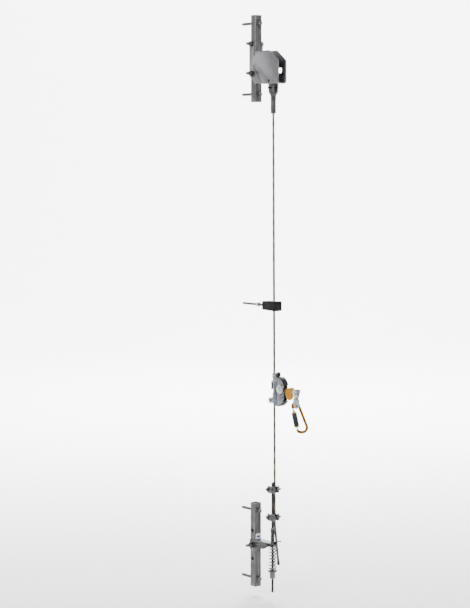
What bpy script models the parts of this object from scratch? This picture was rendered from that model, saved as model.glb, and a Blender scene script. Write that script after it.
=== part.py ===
"""Vertical cable lifeline for a wood pole: brackets, wire rope, guide, tensioner and sliding sleeve.

The origin is the centre of the top tube's back face, where it lies on the pole. +Z is up, -Y is
outward from the pole, and +X runs across it. Sizes below are in millimetres; "out" is the distance
outward from the pole's face, so out = -y.
"""
import math

import bmesh
import bpy
from mathutils import Matrix, Vector

MM = 0.001
GAP = 0.3                 # left between pieces that touch

# Mount tubes
TUBE_WIDTH = 32
TUBE_WALL = 3
TUBE_LENGTH = 336
BOTTOM_Z = -1915          # centre of the bottom tube
TUBE_MID = TUBE_WIDTH / 2
CROSS_BOLT_Z = 57         # cross bolts and cross holes, above and below a tube's centre
TOP_BOLT_REACH = 49       # from a tube's centre to the end of a cross bolt's thread
ARM_BOLT_REACH = 50
LAG_Z = 137               # lag screws, above and below a tube's centre
BOLT_R = 6                # M12 shanks
BOLT_HOLE_R = 6.7

# Top arm
PLATE_THICK = 6
PLATE_MID = TUBE_MID + GAP + PLATE_THICK / 2
LINE_OUT = 120            # the rope and the tension rod stand this far from the pole
CLEVIS_Z = -88
KEEPER_Z = -115
FORK_SLOT_Z = -132.6
BARREL_TOP_Z = -150
BARREL_END_Z = -214
BARREL_R = 10.5

# Wire rope
ROPE_R = 4.75
ROPE_SHIFT = 10.2         # the rope's run beside the rod, across from it
ROPE_BEND_Z = -1640       # where the run from the fork becomes parallel to the rod
TAIL_BEND_Z = -1806
TAIL_END = (31, -1986)

# Cable guide
GUIDE_Z = -958

# Tensioner
ROD_R = 5
ROD_TOP_Z = -1652
ROD_END_Z = -2091
CLIP_ZS = {"upper": -1681, "lower": -1791}
ARM_TOP_Z = -1893
SPRING_R = 12.5           # to the middle of the wire
SPRING_WIRE_R = 2.5
SPRING_TOP_Z = -1901.6
SPRING_END_Z = -2002.7
SPRING_TURNS = 8.5

# Sleeve: its own centre on the rope, and places measured from there
SLEEVE_Z = -1280
SIDE_MID = 9.5            # side plates, to the middle of their thickness
SIDE_THICK = 3
ARM_PIVOT = (46.6, 0)     # out from the rope, up from the sleeve's centre
CAM_PIVOT = (27, 2)
TOP_ROLLER = (12.1, 52)
LOWER_ROLLER = (-17.6, -50)
GATE_HINGE = (14.5, 1)    # across and out from the rope
KNOB = (-2, 29.5)         # across and out from the rope
LINK_BOLT = (131, -3)
CAPTIVE_PIN_Z = -56
CARABINER_R = 5.5
CARABINER_TURN = math.radians(38.5)   # the carabiner's plane, turned from the XZ plane
GATE_TOP = -12            # the carabiner's gate gap, up from the captive pin
GATE_END = -90

# Steel and plastic finishes: colour, metallic, roughness
FINISHES = {
    "galvanised": ((0.42, 0.43, 0.44, 1), 0.9, 0.45),
    "satin_steel": ((0.30, 0.30, 0.31, 1), 0.9, 0.4),
    "black_steel": ((0.02, 0.02, 0.022, 1), 0.6, 0.45),
    "wire_rope": ((0.30, 0.28, 0.23, 1), 0.8, 0.5),
    "black_rubber": ((0.015, 0.015, 0.016, 1), 0.0, 0.6),
    "black_plastic": ((0.012, 0.012, 0.014, 1), 0.0, 0.35),
    "stainless": ((0.55, 0.56, 0.57, 1), 1.0, 0.3),
    "blued_steel": ((0.22, 0.25, 0.32, 1), 0.9, 0.35),
    "gold_anodised": ((0.60, 0.36, 0.08, 1), 0.7, 0.35),
    "bronze_anodised": ((0.35, 0.16, 0.03, 1), 0.8, 0.3),
    "label_white": ((0.75, 0.76, 0.78, 1), 0.0, 0.5),
}

# Drawing planes: the directions of an outline's u and v and of its thickness
RADIAL = (Vector((0, -1, 0)), Vector((0, 0, 1)), Vector((-1, 0, 0)))    # u out, v up
PLAN = (Vector((1, 0, 0)), Vector((0, -1, 0)), Vector((0, 0, -1)))      # u across, v out
FACING = (Vector((math.cos(CARABINER_TURN), -math.sin(CARABINER_TURN), 0)), Vector((0, 0, 1)),
          Vector((-math.sin(CARABINER_TURN), -math.cos(CARABINER_TURN), 0)))
ACROSS = Vector((1, 0, 0))
OUTWARD = Vector((0, -1, 0))
UP = Vector((0, 0, 1))


def clear_scene():
    for item in list(bpy.data.objects):
        bpy.data.objects.remove(item, do_unlink=True)


def new_collection(name):
    group = bpy.data.collections.new(name)
    bpy.context.scene.collection.children.link(group)
    return group


def finish(name):
    material = bpy.data.materials.get(name)
    if material is None:
        colour, metallic, roughness = FINISHES[name]
        material = bpy.data.materials.new(name)
        material.use_nodes = True
        shader = material.node_tree.nodes["Principled BSDF"]
        shader.inputs["Base Color"].default_value = colour
        shader.inputs["Metallic"].default_value = metallic
        shader.inputs["Roughness"].default_value = roughness
        material.diffuse_color = colour
    return material


def at(across, out, up):
    """A point in metres, from its place in mm across, outward and up."""
    return Vector((across, -out, up)) * MM


def rope_across(z):
    """How far across the rope stands at a height on its long run."""
    return ROPE_SHIFT * (BARREL_END_Z - z) / (BARREL_END_Z - ROPE_BEND_Z)


SLEEVE_X = rope_across(SLEEVE_Z)


def on_sleeve(across, out, up):
    """A point in metres, from its place in mm around the sleeve's centre."""
    return at(SLEEVE_X + across, LINE_OUT + out, SLEEVE_Z + up)


# Outlines, in mm

def circle(u, v, radius, sides=12):
    turn = math.tau / sides
    return [Vector((u + radius * math.cos(turn * i), v + radius * math.sin(turn * i)))
            for i in range(sides)]


def arc(u, v, radius, start, end, steps=8):
    """Points on an arc between two angles in degrees."""
    angles = [math.radians(start + (end - start) * i / steps) for i in range(steps + 1)]
    return [Vector((u + radius * math.cos(a), v + radius * math.sin(a))) for a in angles]


def rounded(corners, steps=3):
    """An outline through corners (u, v) or (u, v, radius), with an arc at each rounded one."""
    points = []
    for index, corner in enumerate(corners):
        here = Vector(corner[:2])
        if len(corner) == 2:
            points.append(here)
            continue
        radius = corner[2]
        before = (Vector(corners[index - 1][:2]) - here).normalized()
        after = (Vector(corners[(index + 1) % len(corners)][:2]) - here).normalized()
        half = before.angle(after) / 2
        centre = here + (before + after).normalized() * radius / math.sin(half)
        first = here + before * radius / math.tan(half) - centre
        last = here + after * radius / math.tan(half) - centre
        sweep = (math.atan2(last.y, last.x) - math.atan2(first.y, first.x) + math.pi) % math.tau
        sweep -= math.pi
        points += [centre + Matrix.Rotation(sweep * i / steps, 2) @ first
                   for i in range(steps + 1)]
    return points


def hexagon(u, v, across_flats):
    return circle(u, v, across_flats / math.sqrt(3), 6)


# Solids

def add_object(name, mesh, look=None):
    """A part with a finish, or a cutter without one."""
    item = bpy.data.objects.new(name, mesh)
    if look:
        parts.objects.link(item)
        mesh.materials.clear()
        mesh.materials.append(finish(look))
    else:
        cutters.objects.link(item)
        item.hide_render = True
        item.display_type = "WIRE"
    return item


def weld(mesh):
    shape = bmesh.new()
    shape.from_mesh(mesh)
    bmesh.ops.remove_doubles(shape, verts=shape.verts, dist=0.00001)
    bmesh.ops.recalc_face_normals(shape, faces=shape.faces)
    shape.to_mesh(mesh)
    shape.free()


def as_mesh(curve, name, place, look):
    """Turn a curve into a welded mesh object at a place."""
    guide = bpy.data.objects.new(name + "_guide", curve)
    cutters.objects.link(guide)
    depsgraph = bpy.context.evaluated_depsgraph_get()
    mesh = bpy.data.meshes.new_from_object(guide.evaluated_get(depsgraph))
    mesh.name = name
    weld(mesh)
    bpy.data.objects.remove(guide, do_unlink=True)
    bpy.data.curves.remove(curve)
    item = add_object(name, mesh, look)
    item.matrix_world = place
    return item


def flat(name, plane, middle, thickness, outline, look=None, holes=()):
    """A plate: an outline in a drawing plane, its thickness centred on a point."""
    curve = bpy.data.curves.new(name + "_outline", "CURVE")
    curve.dimensions = "2D"
    curve.fill_mode = "BOTH"
    curve.extrude = thickness / 2 * MM
    for points in (outline, *holes):
        spline = curve.splines.new("POLY")
        spline.points.add(len(points) - 1)
        for point, spot in zip(spline.points, points):
            point.co = (spot.x * MM, spot.y * MM, 0, 1)
        spline.use_cyclic_u = True
    turn = Matrix((plane[0], plane[1], plane[2])).transposed().to_4x4()
    return as_mesh(curve, name, Matrix.Translation(middle) @ turn, look)


def turned(name, foot, axis, profile, look=None, sides=14):
    """A turned piece: (radius, height) points up its outer side, along an axis from a foot."""
    closed = profile[0][0] > 0
    mesh = bpy.data.meshes.new(name)
    points = [(radius * MM, 0, height * MM) for radius, height in reversed(profile)]
    edges = [(i, i + 1) for i in range(len(points) - 1)]
    if closed:
        edges.append((len(points) - 1, 0))
    mesh.from_pydata(points, edges, [])
    item = add_object(name, mesh, look)
    item.location = foot
    item.rotation_mode = "QUATERNION"
    item.rotation_quaternion = UP.rotation_difference(axis)
    screw = item.modifiers.new("turn", "SCREW")
    screw.steps = screw.render_steps = sides
    screw.use_merge_vertices = True
    screw.merge_threshold = 0.00001
    return item


def rod(name, start, axis, length, radius, look=None, sides=12):
    """A plain cylinder from a start point along an axis."""
    shape = bmesh.new()
    bmesh.ops.create_cone(shape, cap_ends=True, segments=sides, radius1=radius * MM,
                          radius2=radius * MM, depth=length * MM,
                          matrix=Matrix.Translation((0, 0, length / 2 * MM)))
    mesh = bpy.data.meshes.new(name)
    shape.to_mesh(mesh)
    shape.free()
    item = add_object(name, mesh, look)
    item.location = start
    item.rotation_mode = "QUATERNION"
    item.rotation_quaternion = UP.rotation_difference(axis)
    return item


def block(name, low, high, look=None):
    """A box between two corners given in metres."""
    size = high - low
    shape = bmesh.new()
    bmesh.ops.create_cube(shape, size=1)
    bmesh.ops.scale(shape, vec=[abs(side) for side in size], verts=shape.verts)
    mesh = bpy.data.meshes.new(name)
    shape.to_mesh(mesh)
    shape.free()
    item = add_object(name, mesh, look)
    item.location = (low + high) / 2
    return item


def wire(name, points, radius, look=None, resolution=2):
    """A round bar along points given in metres."""
    curve = bpy.data.curves.new(name + "_path", "CURVE")
    curve.dimensions = "3D"
    curve.bevel_depth = radius * MM
    curve.bevel_resolution = resolution
    curve.use_fill_caps = True
    spline = curve.splines.new("POLY")
    spline.points.add(len(points) - 1)
    for point, spot in zip(spline.points, points):
        point.co = (*spot, 1)
    return as_mesh(curve, name, Matrix.Identity(4), look)


def combine(item, tool, operation):
    step = item.modifiers.new(tool.name, "BOOLEAN")
    step.operation = operation
    step.solver = "EXACT"
    step.object = tool
    return item


def cut(item, *tools):
    for tool in tools:
        combine(item, tool, "DIFFERENCE")
    return item


def join(item, *tools):
    for tool in tools:
        combine(item, tool, "UNION")
    return item


# Mount tubes and their lag screws

def mount_tube(side, middle_z, cross_zs):
    name = side + "_mount_tube"
    half, inner = TUBE_WIDTH / 2, TUBE_WIDTH / 2 - TUBE_WALL
    outer = rounded([(-half, 0, 4), (half, 0, 4), (half, TUBE_WIDTH, 4), (-half, TUBE_WIDTH, 4)])
    bore = rounded([(-inner, TUBE_WALL, 2), (inner, TUBE_WALL, 2),
                    (inner, TUBE_WIDTH - TUBE_WALL, 2), (-inner, TUBE_WIDTH - TUBE_WALL, 2)])
    tube = flat(name, PLAN, at(0, 0, middle_z), TUBE_LENGTH, outer, "galvanised", [bore])
    for index, height in enumerate(cross_zs):
        start = at(-half - 2, TUBE_MID, middle_z + height)
        cut(tube, rod(f"{name}_cross_hole_{index}", start, ACROSS, TUBE_WIDTH + 4, BOLT_HOLE_R))
    for level in (1, -1):
        start = at(0, -2, middle_z + level * LAG_Z)
        cut(tube, rod(f"{name}_lag_hole_{level}", start, OUTWARD, TUBE_WIDTH + 4, BOLT_HOLE_R))
        place = "upper" if level == 1 else "lower"
        lag_screw(f"{side}_lag_{place}", middle_z + level * LAG_Z)


def lag_screw(name, z):
    """A hex lag screw with its washer: the thread stands out of the tube's back, for the pole."""
    face = TUBE_WIDTH + GAP
    foot = at(0, 0, z)
    profile = [(0, -76), (BOLT_R - 0.4, -64), (BOLT_R, face), (12, face), (12, face + 2.5),
               (0, face + 2.5)]
    screw = turned(name, foot, OUTWARD, profile, "galvanised")
    head = flat(name + "_head", (ACROSS, UP, OUTWARD), at(0, face + 6.2, z), 8,
                hexagon(0, 0, 19))
    join(screw, head)


# Top arm, its bolts and the load lug

def arm_plate(name, across, window):
    slit = 1.4
    outline = rounded([(0, -66, 8), (35, -97, 8), (78.5 - slit * 1.2, -100), (28.3, -29.8),
                       (30.7, -28.2), (78.5 + slit * 1.2, -100), (LINE_OUT - 2.5, -100),
                       (LINE_OUT - 2.5, -91), (LINE_OUT + 2.5, -91), (LINE_OUT + 2.5, -100),
                       (172, -100, 10), (172, -11, 3), (118, 28, 3), (34, 28, 2), (34, 11),
                       (30, 11), (30, 68, 10), (0, 68, 10)])
    holes = [circle(TUBE_MID, level * CROSS_BOLT_Z, BOLT_HOLE_R) for level in (1, -1)]
    if window:
        holes.append(rounded([(126, -58, 2), (150, -60, 3), (150, -38, 3), (136, -40, 2),
                              (127, -30, 2)], 2))
    plate = flat(name, RADIAL, at(across, 0, 0), PLATE_THICK, outline, "satin_steel", holes)
    start = across - PLATE_THICK
    slit_end = rod(name + "_slit_end", at(start, 29.5, -29), ACROSS, 2 * PLATE_THICK, 3, sides=12)
    keyhole = rod(name + "_keyhole", at(start, LINE_OUT, CLEVIS_Z), ACROSS, 2 * PLATE_THICK, 5)
    return cut(plate, slit_end, keyhole)


def arm_web(name, near, far):
    """A strip folded across the arm's underside."""
    return block(name, at(-TUBE_MID, near, -99.6), at(PLATE_MID, far, -95))


def top_arm():
    arm_plate("top_plate_near", -PLATE_MID, False)
    far = arm_plate("top_plate_far", PLATE_MID, True)
    join(far, arm_web("rear_web", 84, 103), arm_web("front_web", 137, 161))
    lug = rounded([(TUBE_WIDTH + 0.6, -15), (55, -15), (132.5, -72, 8), (132.5, -100.5, 12),
                   (107.5, -100.5, 8), (104, -93), (TUBE_WIDTH + 0.6, -82)])
    flat("top_load_lug", RADIAL, at(0, 0, 0), 12, lug, "satin_steel",
         [circle(LINE_OUT, CLEVIS_Z, 6.8)])
    outside = PLATE_MID + PLATE_THICK / 2 + GAP
    for side, level in (("upper", 1), ("lower", -1)):
        cross_bolt("top_bolt_" + side, level * CROSS_BOLT_Z, outside, TOP_BOLT_REACH)


def cross_bolt(name, z, outside, reach):
    """A domed bolt through a tube along +X, with its nut on the -X side."""
    profile = [(0, -reach), (BOLT_R - 0.5, -reach), (BOLT_R, 1 - reach), (BOLT_R, outside),
               (11, outside), (11, outside + 4), (9, outside + 9), (5.5, outside + 12),
               (0, outside + 13)]
    bolt = turned(name, at(0, TUBE_MID, z), ACROSS, profile, "galvanised")
    nut = flat(name + "_nut", RADIAL, at(-outside - 5.2, TUBE_MID, z), 10.4, hexagon(0, 0, 19))
    join(bolt, nut)


# Fork, pins and wire rope

def fork():
    barrel = BARREL_TOP_Z - BARREL_END_Z
    slot = FORK_SLOT_Z - BARREL_END_Z
    body = turned("jaw_terminal", at(0, LINE_OUT, BARREL_END_Z), UP,
                  [(0, 0), (BARREL_R - 1, 0), (BARREL_R, 1), (BARREL_R, barrel),
                   (16.5, barrel + 13), (16.5, slot), (0, slot)], "galvanised", 24)
    for side in (-1, 1):
        ear = rounded([(106.5, -74.5, 13), (133.5, -74.5, 13), (131, -134), (109, -134)], 6)
        join(body, flat(f"fork_ear_{side}", RADIAL, at(side * 11, 0, 0), 8, ear))
    for name, z, radius in (("clevis_bore", CLEVIS_Z, 6.8), ("keeper_bore", KEEPER_Z, 3.4)):
        cut(body, rod(name, at(-20, LINE_OUT, z), ACROSS, 40, radius))
    rod("clevis_pin", at(-15.8, LINE_OUT, CLEVIS_Z), ACROSS, 31.6, 6.35, "stainless")
    keeper = turned("keeper_bolt", at(-25.5, LINE_OUT, KEEPER_Z), ACROSS,
                    [(0, 0), (5, 0), (5, 4.5), (5, 10.2), (3, 10.2), (3, 51), (0, 51)],
                    "black_steel", 12)
    join(keeper, flat("keeper_nut", RADIAL, at(18, LINE_OUT, KEEPER_Z), 5.2, hexagon(0, 0, 11)))


def rope_route():
    """The rope's route: straight from the fork, along the rod through both clips, and its tail."""
    points = [(rope_across(z), z) for z in (BARREL_END_Z - GAP, -600, -1000, -1400)]
    points += [(rope_across(z), z) for z in range(-1560, ROPE_BEND_Z, -20)]
    points += [(ROPE_SHIFT, z) for z in range(ROPE_BEND_Z, TAIL_BEND_Z, -40)]
    across, end = TAIL_END
    slope = (across - ROPE_SHIFT) / (TAIL_BEND_Z - 6 - end)
    points += [(ROPE_SHIFT + 0.25, TAIL_BEND_Z), (ROPE_SHIFT + 0.9, TAIL_BEND_Z - 12)]
    points += [(across - slope * (z - end), z) for z in range(-1840, end, -30)]
    points.append(TAIL_END)
    return [at(x, LINE_OUT, z) for x, z in points]


def wire_rope():
    route = rope_route()
    wire("lifeline_cable", route, ROPE_R, "wire_rope", 3)
    end = (route[-1] - route[-2]).normalized()
    turned("cable_seizing", route[-1] - end * 14 * MM, end,
           [(ROPE_R + GAP, 0), (5.9, 0.6), (5.9, 11.4), (ROPE_R + GAP, 12)], "wire_rope", 16)


# Cable guide

def cable_guide():
    outline = rounded([(75, GUIDE_Z - 17, 3), (152, GUIDE_Z - 19, 3), (152, GUIDE_Z + 19, 3),
                       (75, GUIDE_Z + 17, 3)], 2)
    body = flat("guide_block", RADIAL, at(0, 0, 0), 36, outline, "black_rubber")
    middle = rope_across(GUIDE_Z)
    cut(body, rod("guide_bore", at(middle, LINE_OUT, GUIDE_Z - 25), UP, 50, 5.7),
        block("guide_slot", at(middle, LINE_OUT - 3.6, GUIDE_Z - 25),
              at(25, LINE_OUT + 3.6, GUIDE_Z + 25)),
        rod("guide_stem_bore", at(0, 70, GUIDE_Z), OUTWARD, 31, 5.4))
    turned("guide_stem", at(0, 0, GUIDE_Z), OUTWARD,
           [(0, -72), (4.4, -62), (5, -20), (5, 98), (4, 100), (0, 100)], "galvanised")
    turned("guide_collar", at(0, 31, GUIDE_Z), OUTWARD,
           [(5.3, -7), (7.5, -7), (9.3, -3), (9.3, 3), (7.5, 7), (5.3, 7)], "stainless", 20)


# Bottom arm and tensioner

def bottom_arm():
    top = rounded([(-20.3, 32.7), (20.3, 32.7), (20.3, 95, 6), (13, 116, 4), (13, 137, 3),
                   (7.9, 137), (7.9, LINE_OUT - 7.9, 7.8), (-7.9, LINE_OUT - 7.9, 7.8),
                   (-7.9, 137), (-13, 137, 3), (-13, 116, 4), (-20.3, 95, 6)])
    arm = flat("bottom_arm", PLAN, at(0, 0, ARM_TOP_Z - 2), 4, top, "galvanised")
    side = rounded([(2, -1934, 6), (40, -1934, 6), (108, -1902, 3), (108, ARM_TOP_Z - 0.3),
                    (2, ARM_TOP_Z - 0.3, 3)])
    for sign in (-1, 1):
        flange = flat(f"arm_flange_{sign}", RADIAL, at(sign * 18.5, 0, 0), 4, side, None,
                      [circle(TUBE_MID, BOTTOM_Z, BOLT_HOLE_R)])
        ear = rounded([(125, -1895), (136, -1895), (136, -1884.5, 4), (125, -1884.5, 4)])
        join(arm, flange, flat(f"arm_ear_{sign}", RADIAL, at(sign * 10.5, 0, 0), 4, ear))
    cut(arm, rod("pin_bore", at(-20, 130.6, -1889.5), ACROSS, 40, 2.9, sides=12))
    turned("arm_retaining_pin", at(-17, 130.6, -1889.5), ACROSS,
           [(0, 0), (4.2, 0), (4.2, 3.5), (2.5, 3.5), (2.5, 51), (1.8, 52), (0, 52)],
           "black_steel", 12)
    cross_bolt("arm_bolt", BOTTOM_Z, 20.5 + GAP, ARM_BOLT_REACH)
    block("tube_label", at(-13, TUBE_WIDTH + GAP, -1892), at(13, TUBE_WIDTH + 0.9, -1870),
          "label_white")


def ring(name, bottom, top, inner, outer, look, sides=24, edge=0.6):
    """A washer or collar around the tension rod."""
    height = top - bottom
    turned(name, at(0, LINE_OUT, bottom), UP,
           [(inner, 0), (outer - edge, 0), (outer, edge), (outer, height - edge),
            (outer - edge, height), (inner, height)], look, sides)


def spring_route():
    """The spring's wire: an open helix between two closed end turns."""
    top, end = SPRING_TOP_Z - SPRING_WIRE_R, SPRING_END_Z + SPRING_WIRE_R
    steps = int(SPRING_TURNS * 12)
    closed = 2 * SPRING_WIRE_R + 2 * GAP
    drop = top - end
    points = []
    for step in range(steps + 1):
        turns = SPRING_TURNS * step / steps
        pitch = (drop - 2 * closed) / (SPRING_TURNS - 2)
        if turns < 1:
            fall = closed * turns
        elif turns > SPRING_TURNS - 1:
            fall = drop - closed * (SPRING_TURNS - turns)
        else:
            fall = closed + pitch * (turns - 1)
        angle = math.tau * turns
        points.append(at(SPRING_R * math.cos(angle), LINE_OUT + SPRING_R * math.sin(angle),
                         top - fall))
    return points


def tensioner():
    turned("tension_rod", at(0, LINE_OUT, ROD_END_Z), UP,
           [(0, 0), (ROD_R - 1, 0), (ROD_R, 1), (ROD_R, ROD_TOP_Z - ROD_END_Z - 1),
            (ROD_R - 1, ROD_TOP_Z - ROD_END_Z), (0, ROD_TOP_Z - ROD_END_Z)], "satin_steel")
    ring("rod_stop_collar", -1839.6, -1833, ROD_R + GAP, 7.8, "galvanised", 16)
    sleeve_end = ARM_TOP_Z - 4 - GAP
    turned("guide_tube", at(0, LINE_OUT, sleeve_end - 4), UP,
           [(ROD_R + 0.5, 0), (14, 0), (14, 4), (7.4, 4), (7.4, -1840 - sleeve_end + 4),
            (ROD_R + 0.5, -1840 - sleeve_end + 4)], "satin_steel", 24)
    wire("tension_spring", spring_route(), SPRING_WIRE_R, "galvanised")
    ring("tension_washer", SPRING_END_Z - GAP - 5, SPRING_END_Z - GAP, ROD_R + 0.4, 18,
         "galvanised")
    nut_top = SPRING_END_Z - 2 * GAP - 5
    flat("tension_nut", (ACROSS, -OUTWARD, UP), at(0, LINE_OUT, (nut_top - 2035) / 2), nut_top + 2035,
         hexagon(0, 0, 20), "satin_steel", [circle(0, 0, ROD_R + 0.4)])
    for side, z in CLIP_ZS.items():
        rope_clip(side, z)


def rope_clip(side, z):
    """A wire rope clip around the rod and the rope: U-bolt with nuts, and a forged saddle."""
    legs, bend = 12, 24
    path = [at(-25, LINE_OUT - legs, z)]
    path += [at(bend + legs * p.x, LINE_OUT + legs * p.y, z) for p in arc(0, 0, 1, -90, 90, 10)]
    path.append(at(-25, LINE_OUT + legs, z))
    bolt = wire(f"clip_{side}_ubolt", path, 3.5, "galvanised")
    for sign in (-1, 1):
        join(bolt, flat(f"clip_{side}_nut_{sign}", RADIAL, at(-17.5, 0, 0), 6.4,
                        hexagon(LINE_OUT + sign * legs, z, 13)))
    base = rounded([(-14, 101, 4), (-2, 101, 4), (-2, 139, 4), (-14, 139, 4)])
    saddle = flat(f"clip_{side}_saddle", PLAN, at(0, 0, z), 26, base, "galvanised")
    cut(saddle, rod(f"clip_{side}_groove", at(0, LINE_OUT, z - 20), UP, 40, ROD_R + GAP))
    nose = rounded([(11, 103, 3), (19, 103, 3), (24, 112, 3), (32, 114, 6), (32, 126, 6),
                    (24, 128, 3), (19, 137, 3), (11, 137, 3)], 2)
    bridge = flat(f"clip_{side}_bridge", PLAN, at(0, 0, z), 24, nose, "galvanised")
    cut(bridge, rod(f"clip_{side}_seat", at(ROPE_SHIFT, LINE_OUT, z - 20), UP, 40, ROPE_R + GAP))
    for sign in (-1, 1):
        start = at(-20, LINE_OUT + sign * legs, z)
        tool = rod(f"clip_{side}_leg_hole_{sign}", start, ACROSS, 46, 3.9)
        cut(saddle, tool)
        cut(bridge, tool)


# Sleeve body

def side_plate(name, side, rear_lobe, holes):
    """A side plate: an ear on top for the top roller, and a round front."""
    rear = [(5, 38), (5, -63, 2)]
    if rear_lobe:
        rear = [(5, 38), (5, -30), (-26, -41, 8), (-26, -60, 8), (5, -63)]
    outline = rounded(rear + [(68, -63, 34), (68, 44, 38), (22, 44), (22, 63.5, 10.5),
                              (0, 63.5, 10.5), (0, 41)], 5)
    return flat(name, RADIAL, on_sleeve(side * SIDE_MID, 0, 0), SIDE_THICK, outline, "stainless",
                holes)


def sleeve_body():
    arm_hole, cam_hole = circle(*ARM_PIVOT, 5.4), circle(*CAM_PIVOT, 4.4)
    side_plate("sleeve_plate_near", -1, False, [arm_hole, cam_hole, circle(*TOP_ROLLER, 3.4)])
    far = side_plate("sleeve_plate_far", 1, True, [arm_hole, cam_hole])
    across, out = GATE_HINGE
    for place, up in (("top", 31.5), ("base", -9.5)):
        lug = rounded([(11.4, -2), (across + 3.4, -2, 3), (across + 3.4, 5, 3), (12, 14), (10.2, 14),
                       (10.2, 5.6), (11.4, 5.6)], 3)
        join(far, flat(f"gate_lug_{place}", PLAN, on_sleeve(0, 0, up), 7, lug, None,
                       [circle(across, out, 1.9, 10)]))
    x, y = TOP_ROLLER
    join(far, rod("top_axle", on_sleeve(-SIDE_MID - 1.5, x, y), ACROSS, 21, 3))
    x, y = LOWER_ROLLER
    join(far, rod("lower_axle", on_sleeve(-8.8, x, y), ACROSS, 19, 3),
         rod("lower_axle_head", on_sleeve(-9, x, y), ACROSS, 2, 5.5))
    for name, low, high, reach in (("upper_cable_shoe", 20, 41, 38), ("lower_cable_shoe", -60, -18, 20)):
        outline = rounded([(-2, low, 1), (reach, low, 3), (reach, high, 3), (-2, high, 1)], 2)
        shoe = flat(name, RADIAL, on_sleeve(0, 0, 0), 2 * (SIDE_MID - SIDE_THICK / 2 - GAP), outline,
                    "blued_steel")
        cut(shoe, rod(name + "_groove", on_sleeve(0, 0, low - 5), UP, high - low + 10, 5.9))
        if name.startswith("upper"):
            cut(shoe, rod("knob_bore", on_sleeve(*KNOB, low + 2), UP, 30, 3.3, sides=12))
    strip = rounded([(8.4, -62, 2), (27.4, -62, 2), (27.4, 28, 6), (8.4, 28, 6)], 3)
    cut(flat("sleeve_wear_strip", RADIAL, on_sleeve(-11.9, 0, 0), 1.2, strip, "blued_steel"),
        rod("strip_relief", on_sleeve(-15, *CAM_PIVOT), ACROSS, 6, 4.4))
    sleeve_cover()


def sleeve_cover():
    """The moulded rim around the side plates, open in front where the load arm comes out."""
    width = 2 * (SIDE_MID + SIDE_THICK / 2 + 0.5)
    upper = arc(30, 6, 43.5, 14, 75) + arc(30, 6, 38.4, 75, 14)
    lower = arc(34, -29, 39, -24, -90, 7) + [Vector((12, -68)), Vector((12, -63.4))]
    lower += arc(34, -29, 34.4, -90, -24, 7)
    flat("cover_upper", RADIAL, on_sleeve(0, 0, 0), width, upper, "black_plastic")
    flat("cover_lower", RADIAL, on_sleeve(0, 0, 0), width, lower, "black_plastic")


def rollers():
    turned("top_roller", on_sleeve(-7.2, *TOP_ROLLER), ACROSS,
           [(3.3, 0), (8.3, 0), (8.3, 2), (7, 3.5), (7, 10.9), (8.3, 12.4), (8.3, 14.4), (3.3, 14.4)],
           "stainless", 20)
    turned("lower_roller", on_sleeve(-6.5, *LOWER_ROLLER), ACROSS,
           [(3.3, 0), (11.5, 0), (12.5, 1), (12.5, 12), (11.5, 13), (3.3, 13)], "stainless", 24)


def cable_gate():
    """The plate behind the rope, hinged beside the far side plate."""
    across, out = GATE_HINGE
    knuckle = arc(across, out, 3.1, 0, 180, 6)
    outline = knuckle + [Vector(p) for p in ((across - 3.1, -2), (13, -5), (13, -8.5), (-7, -8.5),
                                             (-7, -11.5), (16, -11.5), (16, -5), (across + 3.1, -2))]
    flat("cable_gate", PLAN, on_sleeve(0, 0, 11), 33, outline, "black_steel",
         [circle(across, out, 1.9, 10)])
    rod("gate_hinge_pin", on_sleeve(across, out, -13), UP, 48, 1.6, "stainless", 10)
    turned("gate_knob", on_sleeve(*KNOB, 26), UP,
           [(0, 0), (3, 0), (3, 22.3), (7, 22.3), (8, 23.6), (8, 27.4), (7, 29), (7, 33), (8, 35),
            (7, 38), (0, 38)], "black_plastic", 16)


def cam_and_arm():
    x, y = CAM_PIVOT
    lobe = []
    for step in range(9):
        angle = 210 - 60 * step / 8
        lobe += arc(x, y, 20.8 + 0.036 * (angle - 180), angle, angle, 1)[:1]
    outline = arc(x, y, 8, -120, 120, 10) + lobe[::-1]
    flat("locking_cam", RADIAL, on_sleeve(0, 0, 0), 9, outline, "black_steel",
         [circle(x, y, 4.35)])
    rod("cam_axle", on_sleeve(-11, x, y), ACROSS, 22, 4, "stainless")
    x, y = ARM_PIVOT
    end_x, end_y = LINK_BOLT
    outline = arc(x, y, 11, 40, 320, 14) + arc(end_x, end_y, 10, -140, 140, 12)
    flat("load_arm", RADIAL, on_sleeve(0, 0, 0), 5, outline, "satin_steel",
         [circle(x, y, 5.4), circle(end_x, end_y, 5.4)])
    turned("arm_axle", on_sleeve(11.8, x, y), -ACROSS,
           [(0, 0), (5, 0), (5, 23.1), (18.7, 23.1), (18.7, 24.6), (17, 26), (0, 27.4)],
           "stainless", 28)
    link = rounded([(67, -8, 2), (71.4, 2.6, 2), (96.5, 10.3, 3), (110, 11, 4), (116.6, -6, 3),
                    (116.6, -14, 3), (103.3, -33, 3), (93.2, -40, 4), (81.5, -33, 3)], 2)
    gold = flat("gold_link", RADIAL, on_sleeve(0, 0, 0), 13, link, "gold_anodised")
    cut(gold, block("link_slot", on_sleeve(-2.9, 60, -10.4), on_sleeve(2.9, 125, 6.4)))
    bolt = turned("link_bolt", on_sleeve(-12.4, *LINK_BOLT), ACROSS,
                  [(0, 0), (9.5, 0), (10.8, 1.2), (10.8, 4), (5, 4), (5, 27), (0, 27)],
                  "stainless", 20)
    join(bolt, flat("link_nut", RADIAL, on_sleeve(11.6, *LINK_BOLT), 6.4, hexagon(0, 0, 17)))


# Swivel and carabiner

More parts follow.
